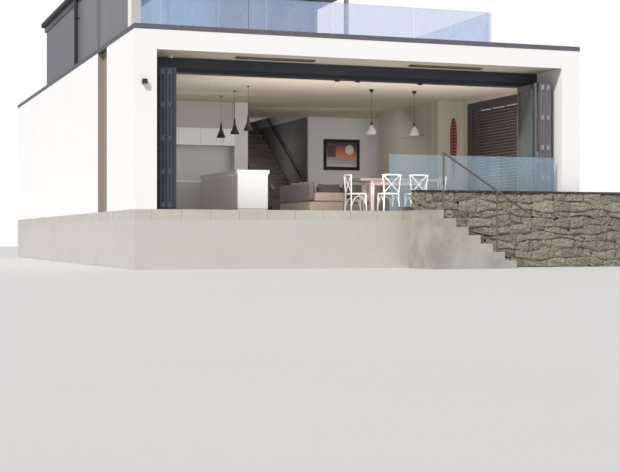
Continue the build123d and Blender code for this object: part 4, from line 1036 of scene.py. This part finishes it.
# Upholstery: a superellipsoid whose outline pulls in between its corners and whose faces swell in the middle,
# with slow waves for slack cloth and a piped seam along its edges
def softPad(name, low, high, cloth, seed, slack=0.004, power=7.0, crown=0.2, pull=0.03, lean=0.0, upright=2,
            fill=0.6, piping=(0.72, -0.72), pipe=0.0045, steps=34, stands=()):
    low, high = spot(*low), spot(*high)
    order = [k for k in range(3) if k != upright] + [upright]
    half, middle = (high - low) / 2, (high + low) / 2
    rng = np.random.default_rng(seed)
    waves = [(rng.uniform(2, 7, 3), rng.uniform(0, 6)) for _ in range(6)]
    rests = upright == 2

    def form(q):
        p = q / (np.abs(q) ** power).sum(axis=1, keepdims=True) ** (1 / power)
        x, y, z = p.T
        bareX, bareY = (1 - x ** 2).clip(0), (1 - y ** 2).clip(0)
        z = np.where((z > 0) | (not rests), z * (1 - crown * (1 - bareX * bareY)), z)
        made = np.zeros_like(p)
        made[:, order] = np.stack([x * (1 - pull * bareY), y * (1 - pull * bareX), z], axis=-1) * half[order]
        ripple = sum(np.sin(p @ k + phase) for k, phase in waves) / 6
        free = np.clip((z + 0.4) * 2, 0, 1) if rests else 1.0
        made *= (1 - slack * (1 + ripple) * free / half.min())[:, None]
        # the foot stands forward and the head falls back against what holds it
        made[:, upright] += lean * (0.5 - made[:, 2] / (2 * half[2]))
        return middle + made

    q, quads = cubeGrid(steps)
    body = Pile()
    body.add(form(q), quads, rng.uniform(0, 1))
    t = np.linspace(0, 8, 161)
    ringX = np.interp(t, [0, 1, 3, 5, 7, 8], [1, 1, -1, -1, 1, 1])
    ringY = np.interp(t, [0, 1, 3, 5, 7, 8], [0, 1, 1, -1, -1, 0])
    for height in piping:
        loop = np.stack([ringX, ringY, 0 * ringX + height], axis=-1)
        roundBar(body, form(loop), pipe, 6, np.eye(3)[upright])
    body.make(name, cloth, "sofa_fabric", 60, stands)


firm = {"crown": 0.02, "pull": 0.004, "slack": 0.001, "fill": 0.95, "steps": 40}
sofaSet = {
    "near": 3.9, "far": 6.2, "left": 5.03, "right": 5.95, "returnRight": 7.3, "returnNear": 5.28,
    "base": 0.30, "back": 0.73, "backThick": 0.14, "arm": 4.08, "armHeight": 0.505, "seat": 0.44, "head": 0.81,
    "gap": 0.004, "cushion": 0.165, "under": 0.03,
    "baseForm": {**firm, "power": 16.0, "piping": (0.86,)},
    "backForm": {**firm, "power": 9.0, "piping": (0.7, -0.7)},
    "looseForm": {"crown": 0.72, "pull": 0.11, "power": 13.0, "slack": 0.006, "fill": 0.55, "piping": (0.0,)},
    "feet": ((5.1, 3.97), (5.88, 3.97), (5.1, 6.12), (7.22, 6.12), (7.22, 5.36), (6.02, 5.36)),
}


def cornerSofa(s):
    left, right, near, far, base, g = (s[key] for key in ("left", "right", "near", "far", "base", "gap"))
    inner, seatFar = left + s["backThick"], far - s["backThick"]
    softPad("sofaBaseSide", (left, near, s["under"]), (right, far, base), "sofaCloth", 2, **s["baseForm"],
            stands=["sofa"])
    softPad("sofaBaseReturn", (right, s["returnNear"], s["under"]), (s["returnRight"], far, base), "sofaCloth", 3,
            **s["baseForm"])
    # the backs take the painted-shade copy of the cloth
    softPad("sofaBackSide", (left, near, base), (inner, far, s["back"]), "sofaClothShaded", 4, **s["backForm"], upright=0)
    softPad("sofaBackRear", (inner, seatFar, base), (s["returnRight"], far, s["back"]), "sofaClothShaded", 5,
            **s["backForm"], upright=1)
    softPad("sofaArm", (inner, near, base), (right, s["arm"], s["armHeight"]), "sofaCloth", 6, **s["backForm"],
            upright=1)
    side = np.linspace(s["arm"], seatFar, 3)
    across = np.linspace(right, s["returnRight"], 3)
    for k in range(2):
        softPad(f"seatSide{k}", (inner + g, side[k] + g, base), (right - g, side[k + 1] - g, s["seat"]),
                "sofaCloth", 10 + k, crown=0.3, pull=0.018, stands=["sofa_cushions"] if k == 0 else ())
        softPad(f"seatReturn{k}", (across[k] + g, s["returnNear"], base), (across[k + 1] - g, seatFar - g, s["seat"]),
                "sofaCloth", 20 + k, crown=0.22, pull=0.014)
        end = side[k + 1] - (s["cushion"] if k else 0.0)
        softPad(f"backSide{k}", (inner + g, side[k] + g, s["seat"]), (inner + s["cushion"], end - g, s["head"]),
                "sofaCloth", 30 + k, **s["looseForm"], upright=0, lean=0.05)
        # the rear back cushions take the painted-shade copy of the cloth
        softPad(f"backReturn{k}", (across[k] + g, seatFar - s["cushion"], s["seat"]),
                (across[k + 1] - g, seatFar - g, s["head"]), "sofaClothShaded", 40 + k, **s["looseForm"], upright=1,
                lean=-0.04)
    feet = Pile()
    for x, y in s["feet"]:
        turned(feet, [(0.02, 0.0), (0.024, 0.004), (0.028, 0.04)], spot(x, y, 0.0), 16)
    feet.make("sofaFeet", "darkFitting", "bright_metal", 40)


cornerSofa(sofaSet)
print("sofa upholstered")


# Framed print: a stepped frame with the print behind it
pictureSet = {"frame": 0.095}


def framedPrint(s):
    low, high = box("framed_picture")
    bars, sheet, w = Pile(), Pile(), s["frame"]
    mouldedFrame(bars, low, high, [(0.0, high[1]), (0.0, low[1] + 0.006), (0.006, low[1]), (w * 0.55, low[1] + 0.001),
                                   (w * 0.7, low[1] + 0.009), (w * 0.92, low[1] + 0.012), (w, low[1] + 0.02),
                                   (w, high[1])])
    easedBoard(sheet, (low[0] + w - 0.002, low[1] + (high[1] - low[1]) * 0.6, low[2] + w - 0.002),
               (high[0] - w + 0.002, high[1] - 0.002, high[2] - w + 0.002), 0.001)
    bars.make("pictureFrame", "blackShade", "picture_print", None, ["framed_picture"])
    sheet.make("picturePrint", "picturePrint", "picture_print")


framedPrint(pictureSet)


# Porch and ceiling fittings
fittingSet = {
    "heaters": ((2.25, 3.95), (6.15, 7.85)), "heaterDepth": (0.48, 0.65), "soffit": 3.165,
    "heaterDrop": 0.035, "rim": 0.022, "slats": 4,
    "camera": (0.938, 0.9), "lamp": ((0.145, -0.096, 2.466), (0.241, 0.0, 2.562)),
    "downlights": ((2.664, 3.86), (3.349, 1.782), (5.573, 4.647)), "ceiling": 2.95,
    "carriages": (4.69, 5.165, 6.65), "track": 2.855, "trackDepth": 1.15,
}


def smallFittings(s):
    pale, dark, slots, glow, trays = Pile(), Pile(), Pile(), Pile(), Pile()
    (y0, y1), rim = s["heaterDepth"], s["rim"]
    for x0, x1 in s["heaters"]:
        z0, z1 = s["soffit"] - s["heaterDrop"], s["soffit"]
        for a, b, c, d in ((x0, x1, y0, y0 + rim), (x0, x1, y1 - rim, y1), (x0, x0 + rim, y0, y1),
                           (x1 - rim, x1, y0, y1)):
            easedBoard(trays, spot(a, c, z0), spot(b, d, z1), 0.002, axis=2)
        easedBoard(slots, spot(x0 + 0.02, y0 + 0.02, z0 + 0.016), spot(x1 - 0.02, y1 - 0.02, z1), 0.001, axis=2)
        for y in np.linspace(y0 + 0.045, y1 - 0.045, s["slats"]):
            easedBoard(slots, spot(x0 + 0.02, y - 0.004, z0 + 0.003), spot(x1 - 0.02, y + 0.004, z0 + 0.018), 0.001)
    x, y = s["camera"]
    turned(pale, [(0.03, -0.044), (0.045, -0.042), (0.053, -0.03), (0.055, -0.012), (0.055, 0.0)],
           spot(x, y, s["soffit"]), 36)
    angle = np.linspace(np.pi / 2, 0, 9)
    turned(dark, np.stack([0.036 * np.cos(angle) + 0.0005, -0.042 - 0.038 * np.sin(angle)], -1),
           spot(x, y, s["soffit"]), 32)
    low, high = spot(*s["lamp"][0]), spot(*s["lamp"][1])
    easedBoard(dark, low, high, 0.006)
    easedBoard(glow, low + (0.02, 0.018, -0.001), (high[0] - 0.02, high[1] - 0.022, low[2] + 0.004), 0.001, axis=2)
    for x, y in s["downlights"]:
        turned(pale, [(0.03, -0.004), (0.034, -0.007), (0.044, -0.005), (0.046, 0.0)], spot(x, y, s["ceiling"]), 32)
        turned(glow, [(0.001, -0.003), (0.03, -0.0035), (0.031, 0.0)], spot(x, y, s["ceiling"]), 24)
    for x in s["carriages"]:
        easedBoard(dark, spot(x - 0.055, s["trackDepth"] - 0.016, s["track"] - 0.045),
                   spot(x + 0.055, s["trackDepth"] + 0.016, s["track"] - 0.012), 0.004)
        turned(dark, [(0.008, -0.014), (0.008, 0.004)], spot(x, s["trackDepth"], s["track"]), 14)
    pale.make("fittingCases", "fittingWhite", "fitting_metal", 45, ["porch_fittings"])
    dark.make("fittingDarkParts", "fittingDark", "fitting_metal", 45)
    trays.make("heaterTrays", "heaterCoat", "fitting_metal")
    slots.make("heaterSlots", "slotDark", "fitting_metal")
    glow.make("fittingGlow", "bulbGlow", "ceiling_paint", 45)


smallFittings(fittingSet)
print("picture and fittings set")
